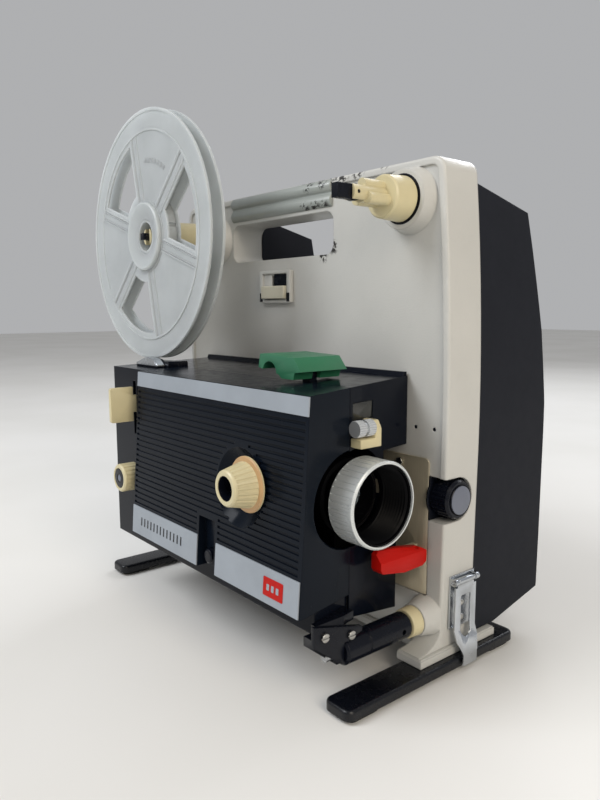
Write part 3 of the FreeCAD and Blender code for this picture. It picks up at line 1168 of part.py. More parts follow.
if __name__ == "__main__":
    build_all()
    write_all()
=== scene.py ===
import json
import math

import bmesh
import bpy
from mathutils import Matrix, Vector


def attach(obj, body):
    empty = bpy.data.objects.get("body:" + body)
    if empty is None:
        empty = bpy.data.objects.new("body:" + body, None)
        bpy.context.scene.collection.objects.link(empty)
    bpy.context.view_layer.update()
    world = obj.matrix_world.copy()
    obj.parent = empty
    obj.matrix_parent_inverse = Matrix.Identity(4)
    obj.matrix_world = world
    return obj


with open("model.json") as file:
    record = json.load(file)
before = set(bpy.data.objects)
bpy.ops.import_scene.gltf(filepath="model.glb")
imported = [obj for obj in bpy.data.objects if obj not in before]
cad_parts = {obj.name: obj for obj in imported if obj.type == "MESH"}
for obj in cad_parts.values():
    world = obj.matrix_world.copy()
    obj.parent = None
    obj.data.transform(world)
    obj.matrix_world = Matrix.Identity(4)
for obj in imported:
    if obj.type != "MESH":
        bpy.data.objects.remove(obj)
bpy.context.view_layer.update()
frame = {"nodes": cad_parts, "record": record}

NODES = frame["nodes"]
MM = 0.001


# ---------------------------------------------------------------------------
# Materials
# ---------------------------------------------------------------------------
def srgb(hex_text):
    """Linear colour of a #rrggbb text."""
    values = [int(hex_text[i:i + 2], 16) / 255 for i in (1, 3, 5)]
    linear = [v / 12.92 if v <= 0.04045 else ((v + 0.055) / 1.055) ** 2.4 for v in values]
    return (*linear, 1.0)


def scaled(colour, factor):
    """Lighter or darker form of a linear colour."""
    return (*[min(1.0, c * factor) for c in colour[:3]], 1.0)


class Surface:
    """A Principled material built from object-space noise, one layer at a time."""

    def __init__(self, name, rough=0.4, metallic=0.0, coat=0.0, specular=0.5, edge_mm=0.0):
        self.material = bpy.data.materials.new(name)
        self.material.use_nodes = True
        self.tree = self.material.node_tree
        self.shader = self.tree.nodes["Principled BSDF"]
        self.coords = self.node("ShaderNodeTexCoord").outputs["Object"]
        self.shader.inputs["Roughness"].default_value = rough
        self.shader.inputs["Metallic"].default_value = metallic
        self.shader.inputs["Coat Weight"].default_value = coat
        self.shader.inputs["Coat Roughness"].default_value = 0.12
        self.shader.inputs["Specular IOR Level"].default_value = specular
        self.height = None
        if edge_mm:
            edge = self.node("ShaderNodeBevel", samples=4)
            edge.inputs["Radius"].default_value = edge_mm * MM
            self.height = edge.outputs["Normal"]

    def node(self, kind, **settings):
        """New shader node with some of its settings given."""
        made = self.tree.nodes.new(kind)
        for key, value in settings.items():
            setattr(made, key, value)
        return made

    def link(self, source, target):
        self.tree.links.new(source, target)

    def noise(self, size_mm, detail=3.0, stretch=(1, 1, 1), rough=0.5):
        """Noise whose blobs are about size_mm across, drawn out along an axis by stretch."""
        mapping = self.node("ShaderNodeMapping")
        mapping.inputs["Scale"].default_value = [1.0 / (size_mm * MM * s) for s in stretch]
        self.link(self.coords, mapping.inputs["Vector"])
        noise = self.node("ShaderNodeTexNoise")
        noise.inputs["Scale"].default_value = 1.0
        noise.inputs["Detail"].default_value = detail
        noise.inputs["Roughness"].default_value = rough
        self.link(mapping.outputs["Vector"], noise.inputs["Vector"])
        return noise.outputs["Fac"]

    def spread(self, value, low, high, start=0.3, end=0.7):
        """Maps a noise value from start..end to low..high."""
        spread = self.node("ShaderNodeMapRange")
        spread.inputs["From Min"].default_value = start
        spread.inputs["From Max"].default_value = end
        spread.inputs["To Min"].default_value = low
        spread.inputs["To Max"].default_value = high
        self.link(value, spread.inputs["Value"])
        return spread.outputs["Result"]

    def colour(self, value, first, second, start=0.35, end=0.65):
        """Colour that runs from first to second as a noise value runs from start to end."""
        ramp = self.node("ShaderNodeValToRGB")
        ramp.color_ramp.elements[0].position = start
        ramp.color_ramp.elements[0].color = first
        ramp.color_ramp.elements[1].position = end
        ramp.color_ramp.elements[1].color = second
        self.link(value, ramp.inputs["Fac"])
        return ramp.outputs["Color"]

    def blend(self, factor, base, over):
        """Base colour with another laid over it by a factor."""
        mix = self.node("ShaderNodeMix", data_type="RGBA")
        self.link(factor, mix.inputs["Factor"])
        self.link(base, mix.inputs["A"])
        if isinstance(over, tuple):
            mix.inputs["B"].default_value = over
        else:
            self.link(over, mix.inputs["B"])
        return mix.outputs["Result"]

    def near(self, point, full_mm, none_mm):
        """One close to a point, falling to zero at none_mm from it."""
        away = self.node("ShaderNodeVectorMath", operation="DISTANCE")
        self.link(self.coords, away.inputs[0])
        away.inputs[1].default_value = point
        return self.spread(away.outputs["Value"], 1.0, 0.0, full_mm * MM, none_mm * MM)

    def product(self, first, second):
        """Two values multiplied."""
        both = self.node("ShaderNodeMath", operation="MULTIPLY")
        self.link(first, both.inputs[0])
        self.link(second, both.inputs[1])
        return both.outputs["Value"]

    def set_colour(self, output):
        self.link(output, self.shader.inputs["Base Color"])

    def set_rough(self, output):
        self.link(output, self.shader.inputs["Roughness"])

    def bump(self, value, depth_mm, strength=1.0):
        """Adds a height layer on top of those already there."""
        bump = self.node("ShaderNodeBump")
        bump.inputs["Strength"].default_value = strength
        bump.inputs["Distance"].default_value = depth_mm * MM
        self.link(value, bump.inputs["Height"])
        if self.height is not None:
            self.link(self.height, bump.inputs["Normal"])
        self.height = bump.outputs["Normal"]
        self.link(self.height, self.shader.inputs["Normal"])


def enamel(name, base, grain_mm=1.1, depth_mm=0.10, rough=0.42, chips=(), edge_mm=0.0):
    """Sprayed textured enamel: leathery grain, faint dirt in patches, rare scuffs, and chips of wear
    around the given (point, reach in mm) pairs."""
    surface = Surface(name, rough, coat=0.1, edge_mm=edge_mm)
    tone = surface.colour(surface.noise(55.0, 5.0), scaled(base, 0.96), scaled(base, 1.02))
    grime = surface.spread(surface.noise(9.0, 8.0, rough=0.65), 0.0, 0.22, 0.58, 0.82)
    tone = surface.blend(grime, tone, scaled(base, 0.72))
    scuffs = surface.noise(3.4, 9.0, rough=0.62)
    tone = surface.blend(surface.spread(scuffs, 0.0, 0.8, 0.76, 0.78), tone, CHIP)
    for point, reach_mm in chips:
        bare = surface.spread(scuffs, 0.0, 1.0, 0.51, 0.54)
        bare = surface.product(bare, surface.near(point, reach_mm * 0.5, reach_mm))
        tone = surface.blend(bare, tone, CHIP)
    surface.set_colour(tone)
    surface.set_rough(surface.spread(surface.noise(14.0, 6.0), rough - 0.06, rough + 0.12))
    voronoi = surface.node("ShaderNodeTexVoronoi", feature="SMOOTH_F1")
    voronoi.inputs["Scale"].default_value = 1.0 / (grain_mm * MM)
    voronoi.inputs["Smoothness"].default_value = 0.6
    surface.link(surface.coords, voronoi.inputs["Vector"])
    surface.bump(voronoi.outputs["Distance"], depth_mm, 0.6)
    surface.bump(surface.noise(0.5, 2.0), depth_mm * 0.3, 0.5)
    return surface.material


def moulded(name, base, rough=0.35, grain_mm=0.25, depth_mm=0.012, dust=0.0, scratch=0.25,
            metallic=0.0, specular=0.5, edge_mm=0.0, glow_mm=0.0):
    """Moulded or painted surface: slight mottling, fine grain, wiped patches and dust. A glow depth
    makes thin plastic let some light through."""
    surface = Surface(name, rough, metallic, specular=specular, edge_mm=edge_mm)
    if glow_mm:
        surface.shader.inputs["Subsurface Weight"].default_value = 0.6
        surface.shader.inputs["Subsurface Radius"].default_value = (1.0, 1.0, 0.95)
        surface.shader.inputs["Subsurface Scale"].default_value = glow_mm * MM
    tone = surface.colour(surface.noise(26.0, 5.0), scaled(base, 0.95), scaled(base, 1.05))
    if dust:
        specks = surface.spread(surface.noise(0.9, 7.0, rough=0.72), 0.0, dust, 0.64, 0.80)
        tone = surface.blend(specks, tone, DUST)
    surface.set_colour(tone)
    wiped = surface.noise(7.0, 6.0, rough=0.6)
    surface.set_rough(surface.spread(wiped, rough - scratch * 0.15, rough + scratch * 0.4, 0.40, 0.75))
    surface.bump(surface.noise(grain_mm, 3.0), depth_mm, 0.7)
    surface.bump(surface.noise(45.0, 1.0), 0.05, 0.2)
    return surface.material


def brushed(name, base, along, rough, depth_mm, contrast=0.12, metallic=1.0):
    """Brushed metal with its grain drawn out along one axis, ALONG_X or ALONG_Z."""
    stretch = [60 if a else 1 for a in along]
    surface = Surface(name, rough, metallic=metallic)
    lines = surface.noise(0.35, 4.0, stretch=stretch)
    tone = surface.colour(lines, scaled(base, 1 - contrast), scaled(base, 1 + contrast * 0.4))
    smudge = surface.spread(surface.noise(13.0, 6.0), 0.0, 0.35, 0.5, 0.8)
    tone = surface.blend(smudge, tone, scaled(base, 0.78))
    surface.set_colour(tone)
    surface.set_rough(surface.spread(lines, rough - 0.08, rough + 0.14))
    surface.bump(lines, depth_mm, 0.8)
    return surface.material


def plated(name, base, rough):
    """Bright plated steel with faint rust-brown specks and soft waves."""
    surface = Surface(name, rough, metallic=1.0)
    tone = surface.colour(surface.noise(12.0, 5.0), scaled(base, 0.86), base)
    specks = surface.spread(surface.noise(1.3, 8.0, rough=0.7), 0.0, 0.55, 0.66, 0.78)
    surface.set_colour(surface.blend(specks, tone, RUST))
    surface.set_rough(surface.spread(surface.noise(5.0, 6.0), rough - 0.05, rough + 0.16))
    surface.bump(surface.noise(6.0, 3.0), 0.05, 0.35)
    return surface.material


def rubber(name, base):
    """Dull rubber with worn, lighter patches."""
    surface = Surface(name, specular=0.3)
    tone = surface.colour(surface.noise(6.0, 6.0), scaled(base, 0.8), scaled(base, 1.6))
    surface.set_colour(tone)
    surface.set_rough(surface.spread(surface.noise(2.5, 5.0), 0.65, 0.87))
    surface.bump(surface.noise(0.4, 3.0), 0.03, 0.8)
    return surface.material


def clear(name, base, rough, transmission):
    """Glass or clear plastic with a slight uneven tint."""
    surface = Surface(name, specular=0.6)
    surface.shader.inputs["Transmission Weight"].default_value = transmission
    surface.shader.inputs["IOR"].default_value = 1.5
    surface.set_colour(surface.colour(surface.noise(25.0, 2.0), scaled(base, 0.92), base))
    surface.set_rough(surface.spread(surface.noise(7.0, 5.0), rough, rough + 0.06))
    return surface.material


ORIGIN = Vector((144.9, 4.5, 0.0))


def at(x, y, z):
    """A point in metres from drawing coordinates in millimetres: X = 0 is the ribbed cover's lens
    end, Y = 0 the operator's face of the frame and Z = 0 the floor."""
    return (Vector((x, y, z)) + ORIGIN) * MM


CHIP = srgb("#1F1C1A")
DUST = srgb("#8C8C8A")
RUST = srgb("#6E655A")
PANEL = srgb("#BEBDB8")
ALONG_X = (1, 0, 0)
ALONG_Z = (0, 0, 1)
# worn places, each with its reach in millimetres
HANDLE_CHIPS = [(at(-62, 0, 294), 7), (at(-76, 0, 294), 8), (at(-88, 0, 294), 9),
                (at(-102, 0, 294), 9), (at(-116, 0, 293), 6)]
WINDOW_CHIPS = [(at(-85, 0, 250), 6), (at(-95, 0, 245), 6), (at(-40, 1, 294), 4)]
RAIL_CHIPS = [(at(-92, -1, 276), 5), (at(-101, -1, 276), 6), (at(-112, -1, 276), 6),
              (at(-94, -1, 291), 5), (at(-108, -1, 291), 6)]
MATERIALS = {
    "frame_enamel": enamel("frame_enamel", PANEL, grain_mm=1.0, depth_mm=0.07, rough=0.38,
                           chips=HANDLE_CHIPS + WINDOW_CHIPS, edge_mm=1.4),
    "base_grey": enamel("base_grey", scaled(PANEL, 0.97), grain_mm=0.8, depth_mm=0.05, rough=0.42,
                        edge_mm=0.9),
    "motor_can": enamel("motor_can", srgb("#5A5F66"), grain_mm=0.8, depth_mm=0.03, rough=0.4),
    "navy_shell": moulded("navy_shell", srgb("#191B22"), rough=0.55, grain_mm=0.6, depth_mm=0.03,
                          dust=0.03, scratch=0.1, specular=0.14, edge_mm=1.2),
    "black_shell": moulded("black_shell", srgb("#0C1019"), rough=0.16, grain_mm=0.4, depth_mm=0.004,
                           dust=0.03, specular=0.09, edge_mm=0.8),
    "ribbed_black": moulded("ribbed_black", srgb("#0D131C"), rough=0.20, grain_mm=0.35, depth_mm=0.004,
                            dust=0.04, specular=0.08, edge_mm=0.35),
    "brushed_trim": moulded("brushed_trim", srgb("#989FA7"), rough=0.46, grain_mm=0.4, depth_mm=0.006,
                            scratch=0.2, metallic=0.25, edge_mm=0.2),
    "lens_black": moulded("lens_black", srgb("#040406"), rough=0.42, grain_mm=0.3, depth_mm=0.01,
                          specular=0.06),
    "knob_black": moulded("knob_black", srgb("#0B0E17"), rough=0.24, grain_mm=0.3, depth_mm=0.005,
                          dust=0.03, specular=0.2, edge_mm=0.3),
    "ivory_plastic": moulded("ivory_plastic", srgb("#C9BE98"), rough=0.38, grain_mm=0.3, depth_mm=0.006,
                             edge_mm=0.3),
    "green_plastic": moulded("green_plastic", srgb("#2A6E4E"), rough=0.38, grain_mm=0.3, depth_mm=0.008,
                             dust=0.05),
    "red_plastic": moulded("red_plastic", srgb("#B01006"), rough=0.40, grain_mm=0.3, depth_mm=0.008,
                           specular=0.15),
    "reel_plastic": moulded("reel_plastic", srgb("#AEB3B4"), rough=0.36, grain_mm=0.35, depth_mm=0.006,
                            edge_mm=0.35, glow_mm=9.0),
    "foot_enamel": moulded("foot_enamel", srgb("#0A0C12"), rough=0.26, grain_mm=0.6, depth_mm=0.012,
                           dust=0.06, specular=0.35, edge_mm=0.9),
    "fan_plastic": moulded("fan_plastic", srgb("#3C3F44"), rough=0.4),
    "socket_ceramic": moulded("socket_ceramic", srgb("#E2DED2"), rough=0.6, grain_mm=0.3, depth_mm=0.02),
    "optical_glass": clear("optical_glass", srgb("#C3D2DC"), rough=0.02, transmission=0.8),
    "smoked_glass": clear("smoked_glass", srgb("#4A4B48"), rough=0.08, transmission=0.6),
    "lamp_glass": clear("lamp_glass", srgb("#E8EEF2"), rough=0.05, transmission=0.6),
    "screw_steel": plated("screw_steel", srgb("#B9B7B2"), rough=0.24),
    "latch_steel": plated("latch_steel", srgb("#C9CDD2"), rough=0.13),
    "lens_silver": brushed("lens_silver", srgb("#D2D6D6"), ALONG_X, rough=0.32, depth_mm=0.002,
                           contrast=0.05, metallic=0.4),
    "gate_steel": brushed("gate_steel", srgb("#B9B09A"), ALONG_Z, rough=0.38, depth_mm=0.003,
                          metallic=0.5),
    "shaft_steel": brushed("shaft_steel", srgb("#A9ABAD"), ALONG_X, rough=0.25, depth_mm=0.004),
    "core_steel": brushed("core_steel", srgb("#6C6E70"), ALONG_X, rough=0.45, depth_mm=0.03),
    "pad_rubber": rubber("pad_rubber", srgb("#1B1B1C")),
    "belt_rubber": rubber("belt_rubber", srgb("#141414")),
}
# parts finished differently from the rest of their material slot
OWN_FINISH = {
    "handle_grip": enamel("handle_grey", srgb("#8F9490"), grain_mm=0.8, depth_mm=0.02, rough=0.36,
                          chips=RAIL_CHIPS),
    "slide_switch": moulded("switch_grey", srgb("#B9B4A2"), rough=0.40, grain_mm=0.3, depth_mm=0.006),
    "threading_roller": moulded("roller_chrome", srgb("#C9CCCF"), rough=0.20, grain_mm=0.3,
                                depth_mm=0.003, metallic=0.6),
}
KNOB_CAP = moulded("knob_cap", srgb("#666B78"), rough=0.42, grain_mm=0.3, depth_mm=0.006)
KNOB_SKIRT = moulded("knob_skirt", srgb("#B89468"), rough=0.42, grain_mm=0.3, depth_mm=0.006)


# ---------------------------------------------------------------------------
# Carried-over nodes: finish, soft edges
# ---------------------------------------------------------------------------
SLOT_OF = {part["node"]: part["material_slot"] for part in frame["record"]["subparts"]}
# nodes whose edges are rounded by their own width; every other one gets USUAL_EDGE_MM
EDGE_MM = {
    "handle_grip": 0.4, "loading_lever": 0.8, "framing_lever": 0.6, "tab_lever": 0.7, "slide_switch": 0.5,
    "threading_bracket": 0.6, "film_guide": 0.4, "tilt_bracket": 0.5, "gate_plate": 0.3,
    "front_catch": 0.3, "rear_catch": 0.3, "catch_seats": 0.3, "switch_bezel": 0.4,
}
USUAL_EDGE_MM = 0.2
# finely cut pieces keep their own edges; their materials soften them instead
FINE_CUT = {
    "ribbed_cover", "mechanism_housing", "focus_ring", "reel_front_flange", "reel_rear_flange",
    "reel_core", "main_knob", "rear_knob", "front_knob", "lens_hood", "threading_roller", "trim_plates",
    "supply_spindle", "takeup_spindle", "tilt_sleeve", "main_frame", "back_cover", "base_tray",
    "front_foot", "rear_foot",
}
WELD_MM = 0.004
SHARP_ANGLE = math.radians(28)
FLAT_ANGLE = math.radians(0.4)


def weld(item):
    """Shares the imported facets' corners, so that curved faces can be shaded smoothly."""
    for polygon in item.data.polygons:
        polygon.use_smooth = True
    join = item.modifiers.new("weld", "WELD")
    join.merge_threshold = WELD_MM * MM


def keep_edges(item):
    """Shades the faces on the two sides of a sharp edge apart, without rounding it."""
    split = item.modifiers.new("edges", "EDGE_SPLIT")
    split.split_angle = SHARP_ANGLE


def merge_flats(item):
    """Merges the facets of each flat face into one."""
    flat = item.modifiers.new("flat", "DECIMATE")
    flat.decimate_type = "DISSOLVE"
    flat.angle_limit = FLAT_ANGLE


def round_edges(item, width_mm):
    """Rounds every sharp edge by the given width."""
    bevel = item.modifiers.new("bevel", "BEVEL")
    bevel.width = width_mm * MM
    bevel.segments = 2
    bevel.limit_method = "ANGLE"
    bevel.angle_limit = SHARP_ANGLE
    bevel.harden_normals = True
    bevel.miter_outer = "MITER_ARC"


def finish_nodes():
    """Gives each node from the CAD its material and its edges."""
    for name, item in NODES.items():
        item.data.materials.clear()
        item.data.materials.append(OWN_FINISH.get(name, MATERIALS[SLOT_OF[name]]))
        weld(item)
        if name in FINE_CUT:
            keep_edges(item)
        else:
            merge_flats(item)
            round_edges(item, EDGE_MM.get(name, USUAL_EDGE_MM))


# ---------------------------------------------------------------------------
# Small added pieces
# ---------------------------------------------------------------------------
# axes of round parts: (x, z) of those that turn about Y, and (y, z) of the front knob
MAIN_KNOB = (-46.9, 116.6)
SUPPLY = (-19.0, 271.0)
TAKEUP = (-219.6, 263.2)
REAR_KNOB = (-202.0, 91.0)
FRONT_KNOB = (11.0, 101.4)
LOCATING_HOLES = ((-12.8, 141.8), (1.0, 141.9))
# the turn, in degrees, of the middle of the reel's first window, and the plane of its front face
REEL_TURN = 12.3
REEL_FACE_Y = -62.1
MAIN_KNOB_SKIRT_R = 15.5


def ribbed_y(z):
    """Y of the ribbed cover's face, which leans outwards towards its lower edge."""
    return -98.0 + (z - 56.8) / (168.4 - 56.8) * 8.1


def add_piece(name, bm, material, body, edge_mm=0.15):
    """Makes an object of the mesh, with rounded edges, and lets it ride on a body."""
    bmesh.ops.recalc_face_normals(bm, faces=bm.faces)
    mesh = bpy.data.meshes.new(name)
    bm.to_mesh(mesh)
    bm.free()
    for polygon in mesh.polygons:
        polygon.use_smooth = True
    mesh.materials.append(material)
    item = bpy.data.objects.new(name, mesh)
    bpy.context.scene.collection.objects.link(item)
    round_edges(item, edge_mm)
    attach(item, body)


def add_loop_solid(bm, near, far):
    """Closed solid between two matching loops of points."""
    low = [bm.verts.new(p) for p in near]
    high = [bm.verts.new(p) for p in far]
    count = len(low)
    bm.faces.new(low)
    bm.faces.new(list(reversed(high)))
    for i in range(count):
        j = (i + 1) % count
        bm.faces.new((low[i], high[i], high[j], low[j]))


def add_upright_slab(bm, loop, y0, y1):
    """Slab over a loop of (x, z) points, between two planes across Y."""
    add_loop_solid(bm, [at(x, y0, z) for x, z in loop], [at(x, y1, z) for x, z in loop])


def lathe(bm, axis, centre, profile, segments=72):
    """Closed profile of (along, radius) points turned about an axis along 'x' or 'y'."""
    rings = []
    for i in range(segments):
        turn = 2 * math.pi * i / segments
        ring = []
        for along, radius in profile:
            a = centre[0] + radius * math.cos(turn)
            b = centre[1] + radius * math.sin(turn)
            ring.append(bm.verts.new(at(along, a, b) if axis == "x" else at(a, along, b)))
        rings.append(ring)
    for i in range(segments):
        first, second = rings[i], rings[(i + 1) % segments]
        for j in range(len(profile)):
            k = (j + 1) % len(profile)
            bm.faces.new((first[j], second[j], second[k], first[k]))


def ribbed_plate(bm, x0, x1, z0, z1, out0, out1, corner=0.6):
    """Flat plate parallel to the ribbed face, with slightly rounded corners."""
    loop = []
    for cx, cz, start in ((x1 - corner, z1 - corner, 0), (x0 + corner, z1 - corner, 90),
                          (x0 + corner, z0 + corner, 180), (x1 - corner, z0 + corner, 270)):
        for step in range(5):
            turn = math.radians(start + 22.5 * step)
            loop.append((cx + corner * math.cos(turn), cz + corner * math.sin(turn)))
    add_loop_solid(bm, [at(x, ribbed_y(z) - out0, z) for x, z in loop],
                   [at(x, ribbed_y(z) - out1, z) for x, z in loop])


def add_plate_marks():
    """A red badge with three raised bars, and a row of plain dark bars on the other plate."""
    bm = bmesh.new()
    ribbed_plate(bm, -29.6, -13.0, 61.3, 71.3, 0.6, 1.05)
    add_piece("badge", bm, MATERIALS["red_plastic"], "ribbed_cover")
    bm = bmesh.new()
    for i in range(3):
        x = -26.4 + 4.0 * i
        ribbed_plate(bm, x, x + 2.2, 64.6, 68.0, 1.0, 1.2, 0.4)
    add_piece("badge_bars", bm, MATERIALS["brushed_trim"], "ribbed_cover", 0.05)
    bm = bmesh.new()
    for i in range(13):
        x = -170.0 + 4.4 * i
        ribbed_plate(bm, x, x + 1.5, 64.0, 69.6, 0.6, 0.78, 0.3)
    add_piece("plate_bars", bm, MATERIALS["knob_black"], "ribbed_cover", 0.05)


def add_knob_caps():
    """Grey cap of the front knob, and the dark ring and screw in the face of the rear knob."""
    bm = bmesh.new()
    lathe(bm, "x", FRONT_KNOB, [(13.2, 0.01), (13.2, 8.3), (13.7, 8.3), (13.95, 7.7), (14.0, 0.01)])
    add_piece("front_knob_cap", bm, KNOB_CAP, "lay_shaft", 0.1)
    bm = bmesh.new()
    lathe(bm, "y", REAR_KNOB, [(-97.4, 2.6), (-97.4, 6.9), (-98.3, 6.7), (-98.5, 3.0), (-98.2, 2.6)])
    add_piece("rear_knob_ring", bm, MATERIALS["knob_black"], "rear_knob", 0.1)
    bm = bmesh.new()
    lathe(bm, "y", REAR_KNOB, [(-97.6, 0.01), (-97.6, 2.4), (-98.2, 2.3), (-98.4, 0.01)])
    add_piece("rear_knob_screw", bm, KNOB_CAP, "rear_knob", 0.1)


def add_main_knob_shade_and_skirt():
    """Painted shade: a dark cup lining the main knob's hole, standing for the shade inside it; and the tan
    face of its thin skirt.
    """
    bm = bmesh.new()
    lathe(bm, "y", MAIN_KNOB, [(-109.6, 6.95), (-101.2, 5.9), (-101.2, 0.01), (-101.7, 0.01),
                               (-101.7, 5.5), (-109.6, 6.55)])
    # dark cup painted in as the shade inside the knob's hole
    add_piece("main_knob_painted_shade", bm, MATERIALS["knob_black"], "main_knob", 0.05)
    bm = bmesh.new()
    face = ribbed_y(MAIN_KNOB[1] - MAIN_KNOB_SKIRT_R) - 0.3
    lathe(bm, "y", MAIN_KNOB, [(face - 0.8, 15.45), (face - 0.95, 15.56), (face - 1.66, 14.95),
                               (face - 1.90, 12.75), (face - 1.6, 12.75)])
    add_piece("main_knob_skirt", bm, KNOB_SKIRT, "main_knob", 0.02)


def on_reel(degrees, along, across):
    """(x, z) of a point given along and across the reel's radius at some turn."""
    ux = math.cos(math.radians(degrees))
    uz = math.sin(math.radians(degrees))
    return (TAKEUP[0] + along * ux - across * uz, TAKEUP[1] + along * uz + across * ux)


def add_reel_hub_ring():
    """Funnel-shaped ring around the reel's hub hole."""
    bm = bmesh.new()
    face = REEL_FACE_Y
    lathe(bm, "y", TAKEUP, [(face + 0.3, 24.6), (face - 2.6, 24.2), (face - 3.4, 23.4),
                            (face - 3.4, 22.2), (face - 0.9, 15.6), (face - 0.7, 12.2),
                            (face + 0.3, 12.2)])
    add_piece("reel_hub_ring", bm, MATERIALS["reel_plastic"], "takeup_spindle", 0.15)


def ridge_loop(degrees, middle, half):
    """Outline of a ridge along a spoke: its middle line's offset and half its width."""
    return [on_reel(degrees, 24.8, middle - half), on_reel(degrees, 73.0, middle - half),
            on_reel(degrees, 73.0, middle + half), on_reel(degrees, 24.8, middle + half)]


def add_reel_ridges():
    """Two fine ridges, narrower at the top, along each of the reel's spokes."""
    bm = bmesh.new()
    for i in range(6):
        degrees = REEL_TURN - 30 + 60 * i
        for middle in (-2.6, 2.6):
            add_loop_solid(bm, [at(x, REEL_FACE_Y + 0.1, z) for x, z in ridge_loop(degrees, middle, 0.75)],
                           [at(x, REEL_FACE_Y - 0.6, z) for x, z in ridge_loop(degrees, middle, 0.4)])
    add_piece("reel_ridges", bm, MATERIALS["reel_plastic"], "takeup_spindle", 0.08)


def rectangle(x0, x1, z0, z1):
    """Corners, in order, of an upright rectangle."""
    return [(x0, z0), (x1, z0), (x1, z1), (x0, z1)]


def add_painted_hole_shade():
    """Painted shade: dark discs at the bottoms of the locating holes, and dark slabs on the floor of the
    slide switch's recess and in its lower corners, where shade falls.
    """
    bm = bmesh.new()
    for hole in LOCATING_HOLES:
        lathe(bm, "y", hole, [(1.2, 1.04), (1.2, 0.01), (1.8, 0.01), (1.8, 1.04)])
    for floor in (rectangle(-157.3, -130.2, 217.2, 221.0), rectangle(-145.6, -130.2, 221.0, 234.8)):
        add_upright_slab(bm, floor, -0.84, -0.95)
    for corner in (rectangle(-161.0, -157.6, 215.4, 221.6), rectangle(-129.9, -126.5, 215.4, 221.6)):
        add_upright_slab(bm, corner, -2.1, -2.32)
    # dark pieces painted in as the shade in these holes and recess corners
    add_piece("painted_hole_shade", bm, MATERIALS["knob_black"], "projector", 0.02)


def add_painted_spindle_gap_shade():
    """Painted shade: dark rings put in the running gaps between the drums of the spindles and their
    bosses.
    """
    for name, axis in (("supply_gap_shade", SUPPLY), ("takeup_gap_shade", TAKEUP)):
        bm = bmesh.new()
        lathe(bm, "y", axis, [(-7.4, 11.0), (-7.4, 14.0), (-7.66, 13.8), (-7.66, 11.0)])
        # dark ring painted in as the shade in the gap
        add_piece(name, bm, MATERIALS["knob_black"], "projector", 0.02)


def add_reel_marks():
    """Row of plain raised bars on the reel's face, near its rim."""
    bm = bmesh.new()
    for i in range(7):
        degrees = REEL_TURN + 45 + 5 * i
        bar = [on_reel(degrees, along, across)
               for along, across in ((52.0, -1.4), (55.0, -1.4), (55.0, 1.4), (52.0, 1.4))]
        add_upright_slab(bm, bar, REEL_FACE_Y + 0.2, REEL_FACE_Y - 0.25)
    add_piece("reel_bars", bm, MATERIALS["reel_plastic"], "takeup_spindle", 0.1)


def add_guide_shoe():
    """Polished entry shoe on the film guide, under the rear reel."""
    outline = [(-221.0, 171.8), (-206.0, 176.2), (-195.5, 175.0), (-189.5, 171.2), (-189.5, 170.0),
               (-221.0, 170.0)]
    bm = bmesh.new()
    add_upright_slab(bm, outline, -72.3, -66.2)
    add_piece("guide_shoe", bm, MATERIALS["latch_steel"], "projector", 0.4)


def add_catch_rivets():
    """Rivet heads that hold the two catch seats to the frame's ends."""
    for name, face, outwards in (("front_rivets", 11.5, 1), ("rear_rivets", -265.2, -1)):
        head = [(face + depth * outwards, radius)
                for depth, radius in ((-0.2, 0.01), (-0.2, 1.9), (0.5, 1.6), (0.9, 0.8), (1.0, 0.01))]
        bm = bmesh.new()
        for z in (29.0, 38.0):
            lathe(bm, "x", (17.0, z), head, 32)
        add_piece(name, bm, MATERIALS["screw_steel"], "projector", 0.05)


# ---------------------------------------------------------------------------
# Stage, light and camera
# ---------------------------------------------------------------------------
CAMERA_PLACE = Vector((0.39601, -0.29884, 0.21039))
CAMERA_TURN = math.radians(50.585)
CAMERA_RISE = math.radians(7.542)
CAMERA_ROLL = math.radians(-0.188)
CAMERA_LENS_MM = 30.99
SENSOR_MM = 36.0
LIT_POINT = Vector((0, 0, 0.15))
FLOOR_HALF_WIDTH = 6.0
FLOOR_DROP = 0.0003


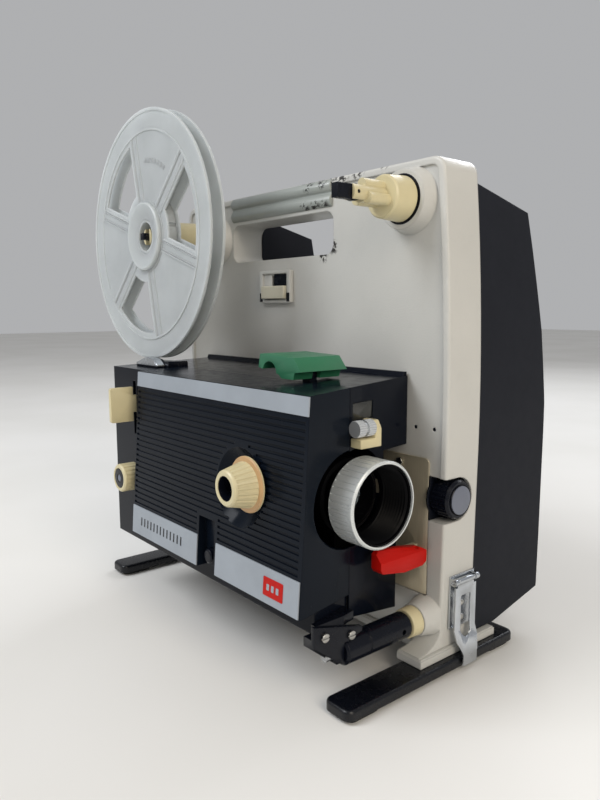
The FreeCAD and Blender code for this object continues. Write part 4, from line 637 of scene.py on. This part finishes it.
def add_camera():
    """Camera looking slightly down at the lens end and the operator's side."""
    data = bpy.data.cameras.new("camera")
    data.lens = CAMERA_LENS_MM
    data.sensor_width = SENSOR_MM
    data.clip_start = 0.01
    data.clip_end = 20
    camera = bpy.data.objects.new("camera", data)
    bpy.context.scene.collection.objects.link(camera)
    back = Vector((math.sin(CAMERA_TURN) * math.cos(CAMERA_RISE),
                   -math.cos(CAMERA_TURN) * math.cos(CAMERA_RISE), math.sin(CAMERA_RISE)))
    right = Vector((math.cos(CAMERA_TURN), math.sin(CAMERA_TURN), 0))
    up = back.cross(right)
    axes = Matrix((right, up, back)).transposed().to_4x4()
    camera.matrix_world = Matrix.Translation(CAMERA_PLACE) @ axes @ Matrix.Rotation(CAMERA_ROLL, 4, "Z")
    bpy.context.scene.camera = camera


def add_area(name, place, size, power, colour):
    """Rectangular light that faces the middle of the projector."""
    data = bpy.data.lights.new(name, "AREA")
    data.shape = "RECTANGLE"
    data.size = size[0]
    data.size_y = size[1]
    data.energy = power
    data.color = colour
    light = bpy.data.objects.new(name, data)
    bpy.context.scene.collection.objects.link(light)
    light.location = place
    light.rotation_euler = (LIT_POINT - Vector(place)).to_track_quat("-Z", "Y").to_euler()


def add_floor():
    """Large pale floor, a hair below the feet."""
    mesh = bpy.data.meshes.new("floor")
    bm = bmesh.new()
    bmesh.ops.create_grid(bm, x_segments=1, y_segments=1, size=FLOOR_HALF_WIDTH)
    bm.to_mesh(mesh)
    bm.free()
    floor = bpy.data.objects.new("floor", mesh)
    floor.location = (0, 0, -FLOOR_DROP)
    bpy.context.scene.collection.objects.link(floor)
    surface = Surface("floor_paint", rough=0.6)
    surface.set_colour(surface.colour(surface.noise(300.0, 3.0), srgb("#DEDCD7"), srgb("#E4E2DE")))
    mesh.materials.append(surface.material)


def add_world():
    """Even, slightly cool light from all around."""
    world = bpy.data.worlds.new("studio")
    world.use_nodes = True
    background = world.node_tree.nodes["Background"]
    background.inputs["Color"].default_value = (0.93, 0.94, 0.96, 1)
    background.inputs["Strength"].default_value = 0.46
    bpy.context.scene.world = world


def add_lights():
    """A cool main light on the operator's side, a warm one on the lens end, and one behind."""
    add_area("key_light", (-0.5, -1.3, 1.5), (0.9, 0.9), 24, (0.93, 0.96, 1.0))
    add_area("side_light", (1.5, -0.35, 0.9), (0.7, 1.1), 14, (1.0, 0.90, 0.76))
    add_area("back_light", (-0.3, 1.5, 1.3), (1.2, 0.6), 14, (0.92, 0.95, 1.0))


finish_nodes()
add_plate_marks()
add_knob_caps()
add_main_knob_shade_and_skirt()
add_reel_hub_ring()
add_reel_ridges()
add_painted_hole_shade()
add_painted_spindle_gap_shade()
add_reel_marks()
add_guide_shoe()
add_catch_rivets()
add_floor()
add_world()
add_lights()
add_camera()
bpy.context.scene.view_settings.view_transform = "Standard"
